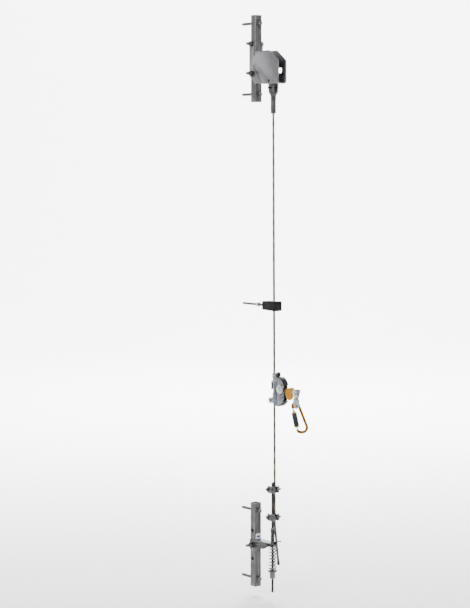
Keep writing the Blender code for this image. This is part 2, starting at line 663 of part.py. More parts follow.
def swivel():
    x, y = LINK_BOLT
    outline = rounded([(x - 10.5, y + 10.5, 10.4), (x + 10.5, y + 10.5, 10.4),
                       (x + 10.5, y - 22, 3), (x - 10.5, y - 22, 3)], 6)
    body = flat("swivel_fork", RADIAL, on_sleeve(0, 0, 0), 16, outline, "stainless",
                [circle(x, y, 5.4)])
    cut(body, block("fork_slot", on_sleeve(-2.9, x - 15, y - 11), on_sleeve(2.9, x + 15, y + 15)),
        rod("stem_seat", on_sleeve(0, x, y - 14.6), UP, 5, 7.2),
        rod("stem_bore", on_sleeve(0, x, y - 26), UP, 14, 4.4))
    eye = turned("swivel_eye", on_sleeve(0, x, -34), UP,
                 [(0, 0), (9.5, 0), (9.5, 6), (7.5, 8.7), (4, 8.7), (4, 17), (6.4, 17),
                  (6.4, 20), (0, 20)], "stainless", 20)
    middle = on_sleeve(0, x, CAPTIVE_PIN_Z)
    bridge = rounded([(-12, 20, 1), (12, 20, 1), (12, 25, 3), (-12, 25, 3)], 2)
    join(eye, flat("eye_bridge", FACING, middle, 26, bridge))
    leg = rounded([(-11, -11, 10.9), (11, -11, 10.9), (11.6, 22), (-11.6, 22)], 5)
    for sign in (-1, 1):
        place = middle + FACING[2] * sign * 10.8 * MM
        join(eye, flat(f"eye_leg_{sign}", FACING, place, 4, leg, None, [circle(0, 0, 2.9, 12)]))
    turned("captive_pin", middle - FACING[2] * 15 * MM, FACING[2],
           [(0, 0), (5, 0), (5, 1.9), (2.5, 1.9), (2.5, 6.4), (3.2, 6.4), (3.2, 23.6), (2.5, 23.6),
            (2.5, 30), (0, 30)], "black_steel", 12)


def carabiner_point(u, v):
    """A place in the carabiner's plane, from its captive pin."""
    middle = on_sleeve(0, LINK_BOLT[0], CAPTIVE_PIN_Z)
    return middle + (FACING[0] * u + FACING[1] * v) * MM


def carabiner_loop():
    """The bar's middle line: an offset D, narrow at the pin and wide below."""
    return rounded([(-16.2, 10.5, 11.5), (5.86, 10.5, 11.5), (50.1, -103, 18), (7.3, -103, 12)], 7)


def gate_line(v):
    """The gate's straight side, at a height."""
    return -16.2 + 0.207 * (10.5 - v)


def carabiner():
    loop = carabiner_loop()
    bar = [Vector((gate_line(GATE_TOP), GATE_TOP))] + loop
    bar += [Vector((gate_line(GATE_END), GATE_END))]
    wire("carabiner_body", [carabiner_point(*p) for p in bar], CARABINER_R, "bronze_anodised", 3)
    top = carabiner_point(gate_line(GATE_TOP - 1.5), GATE_TOP - 1.5)
    end = carabiner_point(gate_line(GATE_END + 1.5), GATE_END + 1.5)
    along = (end - top).normalized()
    length = (end - top).length / MM
    turned("carabiner_gate", top, along,
           [(0, 0), (2.6, 0), (3.6, 2), (4.4, 5), (4.4, length - 5), (3.2, length - 1), (0, length)],
           "bronze_anodised", 16)
    turned("gate_barrel", top + along * 13 * MM, along,
           [(4.8, 0), (8.8, 0), (10.2, 1.5), (10.2, 56.5), (8.8, 58), (4.8, 58)], "black_steel", 20)


clear_scene()
parts = new_collection("cable_lifeline")
cutters = new_collection("cutters")
mount_tube("top", 0, (CROSS_BOLT_Z, -CROSS_BOLT_Z))
mount_tube("bottom", BOTTOM_Z, (CROSS_BOLT_Z, 0, -CROSS_BOLT_Z))
top_arm()
fork()
wire_rope()
cable_guide()
bottom_arm()
tensioner()
sleeve_body()
rollers()
cable_gate()
cam_and_arm()
swivel()
carabiner()
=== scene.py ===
"""The looks of the vertical cable lifeline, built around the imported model.

Sizes are in millimetres, as in the design: "across" is along +X, "out" is the distance outward
from the pole's face (-Y), and "up" is +Z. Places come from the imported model's own nodes.
"""
import math

import bmesh
import bpy
from mathutils import Matrix, Vector, noise


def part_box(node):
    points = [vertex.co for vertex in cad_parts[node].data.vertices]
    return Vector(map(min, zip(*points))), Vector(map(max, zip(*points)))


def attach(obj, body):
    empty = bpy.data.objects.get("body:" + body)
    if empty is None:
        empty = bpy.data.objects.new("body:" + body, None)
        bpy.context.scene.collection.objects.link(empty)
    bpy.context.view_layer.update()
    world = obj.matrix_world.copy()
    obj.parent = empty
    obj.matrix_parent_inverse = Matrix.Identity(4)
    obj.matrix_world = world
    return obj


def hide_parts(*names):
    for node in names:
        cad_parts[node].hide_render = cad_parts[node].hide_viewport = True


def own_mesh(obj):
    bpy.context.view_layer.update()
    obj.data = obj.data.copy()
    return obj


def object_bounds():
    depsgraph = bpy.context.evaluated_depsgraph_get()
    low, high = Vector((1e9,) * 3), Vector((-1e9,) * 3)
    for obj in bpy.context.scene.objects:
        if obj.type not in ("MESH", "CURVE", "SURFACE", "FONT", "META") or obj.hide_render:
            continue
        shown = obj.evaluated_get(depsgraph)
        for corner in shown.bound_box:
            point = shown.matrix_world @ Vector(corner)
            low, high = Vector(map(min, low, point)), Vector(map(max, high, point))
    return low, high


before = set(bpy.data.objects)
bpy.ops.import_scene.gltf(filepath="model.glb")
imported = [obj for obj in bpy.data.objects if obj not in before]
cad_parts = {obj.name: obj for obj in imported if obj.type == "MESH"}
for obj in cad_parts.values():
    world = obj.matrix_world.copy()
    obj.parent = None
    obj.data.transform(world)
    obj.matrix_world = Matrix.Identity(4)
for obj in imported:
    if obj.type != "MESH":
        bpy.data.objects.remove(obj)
cad_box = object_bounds()

MM = 0.001
GAP = 0.3                 # between pieces that touch
ACROSS = Vector((1, 0, 0))
OUTWARD = Vector((0, -1, 0))
UP = Vector((0, 0, 1))
CARABINER_TURN = math.radians(38.5)
RADIAL = (OUTWARD, UP, -ACROSS)                  # u out, v up
PLAN = (ACROSS, OUTWARD, -UP)                    # u across, v out
FACING = (Vector((math.cos(CARABINER_TURN), -math.sin(CARABINER_TURN), 0)), UP,
          Vector((-math.sin(CARABINER_TURN), -math.cos(CARABINER_TURN), 0)))


def middle(node):
    """The middle of a CAD node as (across, out, up), in mm."""
    low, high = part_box(node)
    centre = (low + high) / 2 / MM
    return centre.x, -centre.y, centre.z


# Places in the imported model
BOTTOM_Z = middle("bottom_mount_tube")[2]
LINE_OUT = middle("tension_rod")[1]              # the rope and the rod, out from the pole
SLEEVE_X = middle("locking_cam")[0]
SLEEVE_OUT, SLEEVE_Z = middle("arm_axle")[1:]
GUIDE_Z = middle("guide_stem")[2]

# Places on the sleeve: out from the rope, up from the sleeve's centre
ARM_PIVOT = (SLEEVE_OUT - LINE_OUT, 0)
CAM_PIVOT = (27, 2)
TOP_ROLLER = (12.1, 52)
LOWER_ROLLER = (-17.6, -50)
LINK_BOLT = (131, -3)
CAPTIVE_PIN_Z = -56
GATE_HINGE = (14.5, 1)                           # across and out
KNOB = (-2, 29.5)                                # across and out

# Brackets
TUBE_MID = 16                                    # half the tube's width
TUBE_WALL = 3
TUBE_LENGTH = 336
CROSS_BOLT_Z = 57                                # above and below a tube's centre
LAG_Z = 137                                      # above and below a tube's centre
BOLT_HOLE_R = 6.7
CLEVIS_Z = -88
KEEPER_Z = -115
BARREL_END_Z = -214

ROPE_R = 4.75
ROD_R = 5


# Helpers: outlines

def at(across, out, up):
    return Vector((across, -out, up)) * MM


def on_sleeve(across, out, up):
    return at(SLEEVE_X + across, LINE_OUT + out, SLEEVE_Z + up)


def circle(u, v, radius, sides=40):
    turn = math.tau / sides
    return [Vector((u + radius * math.cos(turn * i), v + radius * math.sin(turn * i)))
            for i in range(sides)]


def arc(u, v, radius, start, end, steps=20):
    angles = [math.radians(start + (end - start) * i / steps) for i in range(steps + 1)]
    return [Vector((u + radius * math.cos(a), v + radius * math.sin(a))) for a in angles]


def rounded(corners, steps=8):
    """An outline through corners (u, v) or (u, v, radius), with an arc at each rounded one."""
    points = []
    for index, corner in enumerate(corners):
        here = Vector(corner[:2])
        if len(corner) == 2:
            points.append(here)
            continue
        radius = corner[2]
        before = (Vector(corners[index - 1][:2]) - here).normalized()
        after = (Vector(corners[(index + 1) % len(corners)][:2]) - here).normalized()
        half = before.angle(after) / 2
        centre = here + (before + after).normalized() * radius / math.sin(half)
        first = here + before * radius / math.tan(half) - centre
        last = here + after * radius / math.tan(half) - centre
        sweep = (math.atan2(last.y, last.x) - math.atan2(first.y, first.x) + math.pi) % math.tau
        sweep -= math.pi
        points += [centre + Matrix.Rotation(sweep * i / steps, 2) @ first
                   for i in range(steps + 1)]
    return points


# Helpers: meshes

def new_object(name, mesh, place=None):
    item = bpy.data.objects.new(name, mesh)
    bpy.context.scene.collection.objects.link(item)
    item.matrix_world = place or Matrix.Identity(4)
    return item


def weld(mesh, flat_angle=0.5):
    shape = bmesh.new()
    shape.from_mesh(mesh)
    bmesh.ops.remove_doubles(shape, verts=shape.verts, dist=0.000005)
    bmesh.ops.dissolve_limit(shape, angle_limit=math.radians(flat_angle), verts=shape.verts,
                             edges=shape.edges)
    bmesh.ops.recalc_face_normals(shape, faces=shape.faces)
    shape.to_mesh(mesh)
    shape.free()


def flat(name, plane, centre, thickness, outline, holes=()):
    """A plate: an outline in a drawing plane, its thickness centred on a point."""
    curve = bpy.data.curves.new(name + "_outline", "CURVE")
    curve.dimensions = "2D"
    curve.fill_mode = "BOTH"
    curve.extrude = thickness / 2 * MM
    for points in (outline, *holes):
        spline = curve.splines.new("POLY")
        spline.points.add(len(points) - 1)
        for point, spot in zip(spline.points, points):
            point.co = (spot.x * MM, spot.y * MM, 0, 1)
        spline.use_cyclic_u = True
    guide = bpy.data.objects.new(name + "_guide", curve)
    bpy.context.scene.collection.objects.link(guide)
    depsgraph = bpy.context.evaluated_depsgraph_get()
    mesh = bpy.data.meshes.new_from_object(guide.evaluated_get(depsgraph))
    bpy.data.objects.remove(guide, do_unlink=True)
    bpy.data.curves.remove(curve)
    weld(mesh)
    turn = Matrix(plane).transposed().to_4x4()
    return new_object(name, mesh, Matrix.Translation(centre) @ turn)


def loft(name, rows, place=None, loop=False):
    """A surface through rings of points in metres, capped at both ends or closed into a loop."""
    shape = bmesh.new()
    rings = [[shape.verts.new(point) for point in row] for row in rows]
    sides = len(rings[0])
    uv = shape.loops.layers.uv.new("along")
    pairs = list(zip(rings, rings[1:] + rings[:1] if loop else rings[1:]))
    for row, (low, high) in enumerate(pairs):
        for i in range(sides):
            face = shape.faces.new((low[i], low[(i + 1) % sides], high[(i + 1) % sides], high[i]))
            spots = ((i, row), (i + 1, row), (i + 1, row + 1), (i, row + 1))
            for corner, (u, v) in zip(face.loops, spots):
                corner[uv].uv = (u / sides, v / len(pairs))
    if not loop:
        shape.faces.new(rings[0][::-1])
        shape.faces.new(rings[-1])
    bmesh.ops.recalc_face_normals(shape, faces=shape.faces)
    mesh = bpy.data.meshes.new(name)
    shape.to_mesh(mesh)
    shape.free()
    return new_object(name, mesh, place)


def turned(name, foot, axis, profile, sides=48, loop=False, shape=None):
    """A turned piece through (radius, height) in mm; shape may change a radius by angle."""
    rows = []
    for radius, height in profile:
        ring = []
        for i in range(sides):
            angle = math.tau * i / sides
            reach = shape(radius, height, angle) if shape else radius
            ring.append(Vector((reach * math.cos(angle), reach * math.sin(angle), height)) * MM)
        rows.append(ring)
    turn = UP.rotation_difference(axis).to_matrix().to_4x4()
    return loft(name, rows, Matrix.Translation(foot) @ turn, loop)


def thread_heights(low, high, pitch):
    count = max(2, round((high - low) / pitch * 4))
    return [low + (high - low) * i / count for i in range(count + 1)]


def screw_shape(low, high, pitch, depth):
    """Cuts a helical thread into a turned piece between two heights."""
    def shape(radius, height, angle):
        if not low < height < high:
            return radius
        phase = (height / pitch - angle / math.tau) % 1
        return radius - depth * abs(2 * phase - 1)
    return shape


def hex_shape(flats, low, high, chamfer=0.16):
    """A hexagon whose corners are chamfered by a cone at one or both ends."""
    corner = flats / math.sqrt(3)

    def shape(radius, height, angle):
        if radius < flats * 0.4:
            return radius
        side = (angle + math.pi / 6) % (math.pi / 3) - math.pi / 6
        edge = min(height - low, high - height)
        cone = flats / 2 * 0.97 + edge / chamfer * 0.32
        return min(flats / 2 / math.cos(side), corner, cone)
    return shape


def sweep(name, points, radius, sides=16):
    """A round bar along points in metres; radius is a number or one for each point."""
    radii = radius if isinstance(radius, list) else [radius] * len(points)
    rows = []
    normal = (points[1] - points[0]).orthogonal().normalized()
    for i, point in enumerate(points):
        along = (points[min(i + 1, len(points) - 1)] - points[max(i - 1, 0)]).normalized()
        normal = (normal - along * normal.dot(along)).normalized()
        side = along.cross(normal)
        rows.append([point + (normal * math.cos(math.tau * k / sides)
                              + side * math.sin(math.tau * k / sides)) * radii[i] * MM
                     for k in range(sides)])
    return loft(name, rows)


def rod(name, start, axis, length, radius, sides=48):
    return turned(name, start, axis, [(radius, 0), (radius, length)], sides)


def block(name, low, high):
    shape = bmesh.new()
    bmesh.ops.create_cube(shape, size=1)
    bmesh.ops.scale(shape, vec=[abs(side) for side in high - low], verts=shape.verts)
    mesh = bpy.data.meshes.new(name)
    shape.to_mesh(mesh)
    shape.free()
    return new_object(name, mesh, Matrix.Translation((low + high) / 2))


def combine(item, tools, operation):
    """Apply Booleans with tools, which are then removed."""
    for tool in tools:
        step = item.modifiers.new(tool.name, "BOOLEAN")
        step.operation = operation
        step.solver = "EXACT"
        step.object = tool
    apply_modifiers(item)
    for tool in tools:
        bpy.data.objects.remove(tool, do_unlink=True)
    return item


def apply_modifiers(item):
    depsgraph = bpy.context.evaluated_depsgraph_get()
    mesh = bpy.data.meshes.new_from_object(item.evaluated_get(depsgraph))
    item.modifiers.clear()
    item.data = mesh


def cut(item, *tools):
    return combine(item, tools, "DIFFERENCE")


def join(item, *tools):
    return combine(item, tools, "UNION")


def dress(item, body, look, nodes=(), edge=0.0, angle=38):
    """Round the edges, shade, give the material, tie the piece to its body and hide the CAD nodes
    it stands for.
    """
    if edge:
        weld(item.data)
        bevel = item.modifiers.new("edges", "BEVEL")
        bevel.width = edge * MM
        bevel.segments = 2
        bevel.limit_method = "ANGLE"
        bevel.angle_limit = math.radians(angle)
        apply_modifiers(item)
    item.data.materials.clear()
    item.data.materials.append(LOOKS[look])
    item.data.shade_smooth()
    item.data.set_sharp_from_angle(angle=math.radians(angle))
    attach(item, body)
    if nodes:
        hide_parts(*([nodes] if isinstance(nodes, str) else nodes))
    return item


# Helpers: materials

class Look:
    """A Principled material, with short calls for the texture nodes that feed it."""

    def __init__(self, name, metallic, roughness, colour):
        self.material = bpy.data.materials.new("look_" + name)
        self.material.use_nodes = True
        self.nodes = self.material.node_tree.nodes
        self.links = self.material.node_tree.links
        self.shader = self.nodes["Principled BSDF"]
        self.shader.inputs["Metallic"].default_value = metallic
        self.shader.inputs["Roughness"].default_value = roughness
        self.shader.inputs["Base Color"].default_value = (*colour, 1)
        self.material.diffuse_color = (*colour, 1)

    def node(self, kind, inputs=(), **settings):
        made = self.nodes.new(kind)
        for key, value in settings.items():
            setattr(made, key, value)
        for key, value in dict(inputs).items():
            if isinstance(value, bpy.types.NodeSocket):
                self.links.new(value, made.inputs[key])
            else:
                made.inputs[key].default_value = value
        return made

    def place(self, stretch=(1, 1, 1)):
        """Object coordinates in millimetres, stretched."""
        spot = self.node("ShaderNodeTexCoord").outputs["Object"]
        scale = [1000 * factor for factor in stretch]
        return self.node("ShaderNodeMapping", {"Vector": spot, "Scale": scale}).outputs["Vector"]

    def noise(self, size, detail=3.0, stretch=(1, 1, 1)):
        """Noise whose features are about a size in mm."""
        made = self.node("ShaderNodeTexNoise", {"Vector": self.place(stretch), "Scale": 1 / size,
                                                "Detail": detail})
        return made.outputs["Fac"]

    def cells(self, size):
        made = self.node("ShaderNodeTexVoronoi", {"Vector": self.place(), "Scale": 1 / size})
        return self.node("ShaderNodeSeparateColor", {"Color": made.outputs["Color"]}).outputs[0]

    def span(self, value, low, high, start=0.3, end=0.7):
        """Map a texture's middle range onto low to high."""
        made = self.node("ShaderNodeMapRange", {"Value": value, "From Min": start, "From Max": end,
                                                "To Min": low, "To Max": high})
        return made.outputs["Result"]

    def blend(self, factor, first, second):
        made = self.node("ShaderNodeMix", data_type="RGBA")
        for socket, value in ((made.inputs[0], factor), (made.inputs[6], first),
                              (made.inputs[7], second)):
            if isinstance(value, bpy.types.NodeSocket):
                self.links.new(value, socket)
            else:
                socket.default_value = value if isinstance(value, float) else (*value, 1)
        return made.outputs[2]

    def edges(self, start=0.52, end=0.6):
        """1 on worn outer edges, 0 elsewhere."""
        made = self.node("ShaderNodeNewGeometry")
        return self.span(made.outputs["Pointiness"], 0, 1, start, end)

    def feed(self, socket, value):
        self.links.new(value, self.shader.inputs[socket])

    def bump(self, height, depth, strength=1.0):
        """A bump from a height texture, its depth in mm."""
        made = self.node("ShaderNodeBump", {"Height": height, "Distance": depth * MM,
                                            "Strength": strength})
        if self.shader.inputs["Normal"].is_linked:
            self.links.new(self.shader.inputs["Normal"].links[0].from_socket,
                           made.inputs["Normal"])
        self.feed("Normal", made.outputs["Normal"])


def galvanised():
    """Zinc coating: grey spangle, cloudy sheen and a duller film in places."""
    look = Look("galvanised", 0.9, 0.42, (0.136, 0.14, 0.143))
    spangle = look.span(look.cells(5.5), 0.25, 0.75, 0, 1)
    cloud = look.noise(26, 4)
    base = look.blend(spangle, (0.0462, 0.0479, 0.0501), (0.082, 0.0836, 0.0853))
    base = look.blend(look.span(cloud, 0, 0.5), base, (0.0462, 0.0446, 0.0418))
    look.feed("Base Color", look.blend(look.edges(), base, (0.143, 0.145, 0.147)))
    look.feed("Roughness", look.span(cloud, 0.34, 0.56))
    look.bump(look.noise(1.6, 4), 0.12, 0.5)
    look.bump(spangle, 0.05, 0.4)
    return look.material


def surface(name, metallic, roughness, colour, cloud, tones, gloss, relief, film=None, edge=None,
            specular=0.5):
    """Two cloudy tones with an uneven gloss and a fine relief.

    Each noise is a tuple: its size in mm, its detail and any stretch. film adds a third tone in
    patches, and edge adds a tone on worn edges.
    """
    look = Look(name, metallic, roughness, colour)
    look.shader.inputs["Specular IOR Level"].default_value = specular
    base = look.blend(look.span(look.noise(*cloud), 0, 1), *tones)
    if film:
        patches, amount, tone = film
        base = look.blend(look.span(look.noise(*patches), 0, amount), base, tone)
    if edge:
        base = look.blend(look.edges(*edge[1:]), base, edge[0])
    look.feed("Base Color", base)
    look.feed("Roughness", look.span(look.noise(*gloss[0]), *gloss[1:]))
    look.bump(look.noise(*relief[0]), *relief[1:])
    return look.material


def strand(name, low, high, wires, laps):
    """Steel wires twisted into a strand: lines that run round the bar as they run along it, with
    painted shade in the grooves between the wires.
    """
    look = Look(name, 0.85, 0.42, high)
    spot = look.node("ShaderNodeUVMap", uv_map="along").outputs["UV"]
    parts = look.node("ShaderNodeSeparateXYZ", {"Vector": spot}).outputs
    around = look.node("ShaderNodeMath", {0: parts[0], 1: wires}, operation="MULTIPLY")
    along = look.node("ShaderNodeMath", {0: parts[1], 1: laps}, operation="MULTIPLY")
    phase = look.node("ShaderNodeMath", {0: around.outputs[0], 1: along.outputs[0]},
                      operation="ADD")
    saw = look.node("ShaderNodeMath", {0: phase.outputs[0], 1: 1.0}, operation="PINGPONG")
    ridge = look.span(saw.outputs[0], 0, 1, 0.1, 0.7)
    dirt = look.span(look.noise(14, 4), 0, 0.45)
    # Painted shade: the grooves between the wires take the low colour and the crests the high one.
    base = look.blend(ridge, low, high)
    look.feed("Base Color", look.blend(dirt, base, low))
    look.feed("Roughness", look.span(look.noise(3, 3), 0.34, 0.54))
    look.bump(ridge, 0.25, 0.8)
    return look.material


def anodised(name, dark, light, bare, rough):
    """Coloured aluminium whose edges are rubbed back towards bare metal."""
    look = Look(name, 0.85, rough, light)
    cloud = look.noise(10, 4)
    base = look.blend(look.span(cloud, 0, 1), dark, light)
    scuff = look.noise(1.4, 5, (1, 0.2, 1))
    worn = look.node("ShaderNodeMath", {0: look.edges(0.51, 0.6), 1: look.span(scuff, 0.1, 0.9)},
                     operation="MULTIPLY").outputs[0]
    look.feed("Base Color", look.blend(worn, base, bare))
    look.feed("Roughness", look.span(cloud, rough - 0.08, rough + 0.12))
    look.bump(look.noise(0.8, 3), 0.04, 0.5)
    return look.material


def label_white():
    """A printed polyester label with a plain blue band."""
    look = Look("label_white", 0.0, 0.45, (0.72, 0.73, 0.75))
    spot = look.node("ShaderNodeTexCoord").outputs["Object"]
    parts = look.node("ShaderNodeSeparateXYZ", {"Vector": spot}).outputs
    inside = []
    for part, half in ((parts[0], 0.0085), (parts[1], 0.0035)):
        reach = look.node("ShaderNodeMath", {0: part}, operation="ABSOLUTE").outputs[0]
        inside.append(look.span(reach, 1, 0, half - 0.0001, half + 0.0001))
    band = look.node("ShaderNodeMath", {0: inside[0], 1: inside[1]},
                     operation="MULTIPLY").outputs[0]
    paper = look.blend(look.span(look.noise(5, 4), 0, 1), (0.60, 0.61, 0.62), (0.76, 0.77, 0.79))
    look.feed("Base Color", look.blend(band, paper, (0.03, 0.07, 0.26)))
    look.feed("Roughness", look.span(look.noise(3, 3), 0.38, 0.55))
    return look.material


# Streaky noises: size, detail and stretch
ROLLED = (0.7, 3, (1, 0.06, 1))
DRAWN = (1.2, 4, (1, 1, 0.05))
BRUSHED = (0.5, 3, (0.08, 1, 1))

LOOKS = {
    "galvanised": galvanised(),
    "satin_steel": surface(                      # rolled plate, zinc plated to a soft satin
        "satin_steel", 0.9, 0.4, (0.184, 0.184, 0.189), (34, 4),
        ((0.0967, 0.0967, 0.0991), (0.138, 0.138, 0.14)), (ROLLED, 0.32, 0.5),
        (ROLLED, 0.04, 0.5), (ROLLED, 0.35, (0.0725, 0.0725, 0.0741)), ((0.203, 0.203, 0.208),)),
    "rod_steel": surface(                        # dark oiled steel
        "rod_steel", 0.95, 0.36, (0.0609, 0.0609, 0.063), DRAWN,
        ((0.0217, 0.0217, 0.0224), (0.0518, 0.0518, 0.0532)), ((18, 4), 0.28, 0.5),
        (DRAWN, 0.04, 0.4), ((18, 4), 0.4, (0.0322, 0.0287, 0.0252))),
    "spring_steel": surface(                     # zinc-plated wire
        "spring_steel", 0.95, 0.3, (0.096, 0.096, 0.099), (6, 4),
        ((0.054, 0.054, 0.0564), (0.144, 0.144, 0.147)), ((6, 4), 0.22, 0.42),
        ((0.7, 3), 0.04, 0.4)),
    "black_steel": surface(                      # black oxide with rubbed edges
        "black_steel", 0.2, 0.42, (0.008, 0.008, 0.009), (9, 5),
        ((0.005, 0.005, 0.006), (0.013, 0.013, 0.014)), ((9, 5), 0.32, 0.55),
        ((0.9, 3), 0.05, 0.5), edge=((0.06, 0.058, 0.056), 0.53, 0.62), specular=0.35),
    # In the rope looks the low colour is painted shade in the grooves between the wires, and also
    # the dirt.
    "wire_rope": strand("wire_rope", (0.03, 0.027, 0.02), (0.17, 0.155, 0.12), 5, 70),
    "rope_core": strand("rope_core", (0.015, 0.014, 0.011), (0.08, 0.073, 0.058), 5, 70),
    "polished": surface(                         # machined stainless, with faint turning marks
        "polished", 1.0, 0.16, (0.342, 0.345, 0.347), (7, 4),
        ((0.29, 0.293, 0.295), (0.373, 0.376, 0.379)), ((7, 4), 0.12, 0.26),
        ((0.5, 2, (0.05, 0.05, 1)), 0.02, 0.4)),
    "black_rubber": surface(
        "black_rubber", 0.0, 0.6, (0.004, 0.004, 0.004), (12, 4),
        ((0.002, 0.002, 0.002), (0.006, 0.006, 0.006)), ((4, 3), 0.46, 0.68),
        ((0.8, 4), 0.1, 0.6), edge=((0.014, 0.014, 0.013), 0.53, 0.62), specular=0.12),
    # This look also serves as painted shade inside the sleeve: the covers, the cheek sheets and the
    # arm lips.
    "black_plastic": surface(                    # moulded nylon with a fine grain
        "black_plastic", 0.0, 0.4, (0.006, 0.006, 0.007), (16, 3),
        ((0.004, 0.004, 0.005), (0.009, 0.009, 0.01)), ((2.2, 2), 0.3, 0.48),
        ((0.45, 2), 0.05, 0.6), edge=((0.03, 0.03, 0.032), 0.53, 0.63), specular=0.3),
    "stainless": surface(                        # stamped plate, tumbled and finely brushed
        "stainless", 1.0, 0.3, (0.23, 0.232, 0.234), (15, 4),
        ((0.142, 0.144, 0.146), (0.198, 0.2, 0.202)), ((15, 4), 0.22, 0.38),
        (BRUSHED, 0.03, 0.5), (BRUSHED, 0.3, (0.0951, 0.0963, 0.099)), ((0.245, 0.248, 0.25),)),
    "blued_steel": surface(
        "blued_steel", 0.95, 0.34, (0.084, 0.101, 0.139), (11, 4),
        ((0.0546, 0.0714, 0.109), (0.113, 0.13, 0.168)), ((1.2, 3, (1, 0.1, 1)), 0.26, 0.44),
        ((0.6, 3), 0.03, 0.4), edge=((0.21, 0.218, 0.235),)),
    "gold_anodised": anodised("gold_anodised", (0.22, 0.095, 0.003), (0.34, 0.155, 0.006),
                              (0.5, 0.29, 0.06), 0.36),
    "bronze_anodised": anodised("bronze_anodised", (0.1, 0.036, 0.003), (0.2, 0.08, 0.008),
                                (0.42, 0.25, 0.09), 0.28),
    "label_white": label_white(),
}


# Camera, stage and lights

CAMERA_SPOT = Vector((-4.451, -5.433, -0.391))
CAMERA_AIM = Vector((0.0227, 0.1444, -0.9687))
FLOOR_Z = cad_box[0][2] - 0.03


def stage():
    """A pale floor that curves up into a wall all round."""
    wall, bend, height = 13.0, 4.0, 9.0
    profile = [(0.001, 0)]
    profile += [(wall - bend + bend * math.sin(a), bend - bend * math.cos(a))
                for a in (math.radians(6 * i) for i in range(16))]
    profile.append((wall, height))
    rows = [[Vector((radius * math.cos(math.tau * i / 64), radius * math.sin(math.tau * i / 64),
                     up)) for i in range(64)] for radius, up in profile]
    shape = bmesh.new()
    rings = [[shape.verts.new(point) for point in row] for row in rows]
    for low, high in zip(rings, rings[1:]):
        for i in range(64):
            shape.faces.new((low[i], low[(i + 1) % 64], high[(i + 1) % 64], high[i]))
    mesh = bpy.data.meshes.new("studio")
    shape.to_mesh(mesh)
    shape.free()
    studio = new_object("studio", mesh, Matrix.Translation((0, 0, FLOOR_Z)))
    look = Look("studio", 0.0, 0.8, (0.93, 0.93, 0.932))
    look.feed("Roughness", look.span(look.noise(900, 3), 0.74, 0.86))
    studio.data.materials.append(look.material)
    studio.data.shade_smooth()


def area_light(name, spot, aim, size, power, colour=(1, 1, 1)):
    lamp = bpy.data.lights.new(name, "AREA")
    lamp.shape = "RECTANGLE"
    lamp.size, lamp.size_y = size
    lamp.energy = power
    lamp.color = colour
    item = bpy.data.objects.new(name, lamp)
    bpy.context.scene.collection.objects.link(item)
    item.matrix_world = (Matrix.Translation(spot)
                         @ (aim - spot).to_track_quat("-Z", "Y").to_matrix().to_4x4())


def lights_and_camera():
    centre = Vector((0, -0.15, -1.0))
    area_light("key", Vector((-5.5, -2.0, 3.2)), centre, (1.4, 3.5), 430)
    area_light("fill", Vector((2.0, -7.0, 1.0)), centre, (2.6, 3.0), 50)
    behind = centre + (CAMERA_AIM - CAMERA_SPOT).normalized() * 11
    area_light("backdrop", Vector((3.0, 3.2, 4.5)), behind, (5.0, 1.5), 4900)
    area_light("rim", Vector((4.0, 3.5, 2.5)), centre, (1.5, 3.0), 120)
    world = bpy.data.worlds.new("studio_sky")
    world.use_nodes = True
    world.node_tree.nodes["Background"].inputs["Color"].default_value = (0.95, 0.97, 1, 1)
    world.node_tree.nodes["Background"].inputs["Strength"].default_value = 0.6
    bpy.context.scene.world = world
    camera = bpy.data.cameras.new("camera")
    camera.sensor_width = 36
    camera.lens = 105.85
    camera.clip_end = 60
    item = bpy.data.objects.new("camera", camera)
    bpy.context.scene.collection.objects.link(item)
    item.matrix_world = (Matrix.Translation(CAMERA_SPOT)
                         @ (CAMERA_AIM - CAMERA_SPOT).to_track_quat("-Z", "Y").to_matrix().to_4x4())
    bpy.context.scene.camera = item


# Mount tubes and fasteners

def mount_tube(side, middle_z, cross_zs):
    node = side + "_mount_tube"
    half, wall, width = TUBE_MID, TUBE_WALL, 2 * TUBE_MID
    inner = half - wall
    outer = rounded([(-half, 0, 4), (half, 0, 4), (half, width, 4), (-half, width, 4)])
    bore = rounded([(-inner, wall, 2), (inner, wall, 2), (inner, width - wall, 2),
                    (-inner, width - wall, 2)])
    tube = flat(node + "_fine", PLAN, at(0, 0, middle_z), TUBE_LENGTH, outer, [bore])
    drills = [rod("drill", at(-half - 2, half, middle_z + up), ACROSS, width + 4, BOLT_HOLE_R, 40)
              for up in cross_zs]
    drills += [rod("drill", at(0, -2, middle_z + up), OUTWARD, width + 4, BOLT_HOLE_R, 40)
               for up in (LAG_Z, -LAG_Z)]
    cut(tube, *drills)
    dress(tube, "root", "galvanised", node, 0.45)
    seam = [at(-inner + 0.5, wall + 4, middle_z + up) for up in range(-165, 166, 5)]
    bead = [0.9 + 0.25 * noise.noise(point * 400) for point in seam]
    dress(sweep(side + "_tube_weld_seam", seam, bead, 10), "root", "galvanised")
    for up, place in ((LAG_Z, "upper"), (-LAG_Z, "lower")):
        lag_screw(f"{side}_lag_{place}", middle_z + up)


def lag_screw(node, z):
    """A lag screw: coarse wood thread with a gimlet point, washer and stamped hex head."""
    face, pitch = 2 * TUBE_MID + GAP, 5
    cone = [(0.001, -76), (1.2, -74.5), (3.6, -69), (4.6, -66)]
    profile = cone + [(4.9, up) for up in thread_heights(-64, -12, pitch * 0.6)]
    profile += [(5.8, -10), (5.8, face + 1)]

    def wood_thread(radius, height, angle):
        if not -70 < height < -12:
            return radius
        phase = (height / pitch - angle / math.tau) % 1
        taper = min(1, (height + 72) / 8)
        return radius + 1.0 * taper * max(0, 1 - abs(phase - 0.5) * 5)
    dress(turned(node + "_fine", at(0, 0, z), OUTWARD, profile, 36, shape=wood_thread),
          "root", "galvanised", node, angle=50)
    washer(node + "_washer", at(0, face, z), OUTWARD, 6.5, 12, 2.4)
    hex_head(node + "_head", at(0, face + 2.4, z), OUTWARD, 19, 7.7)


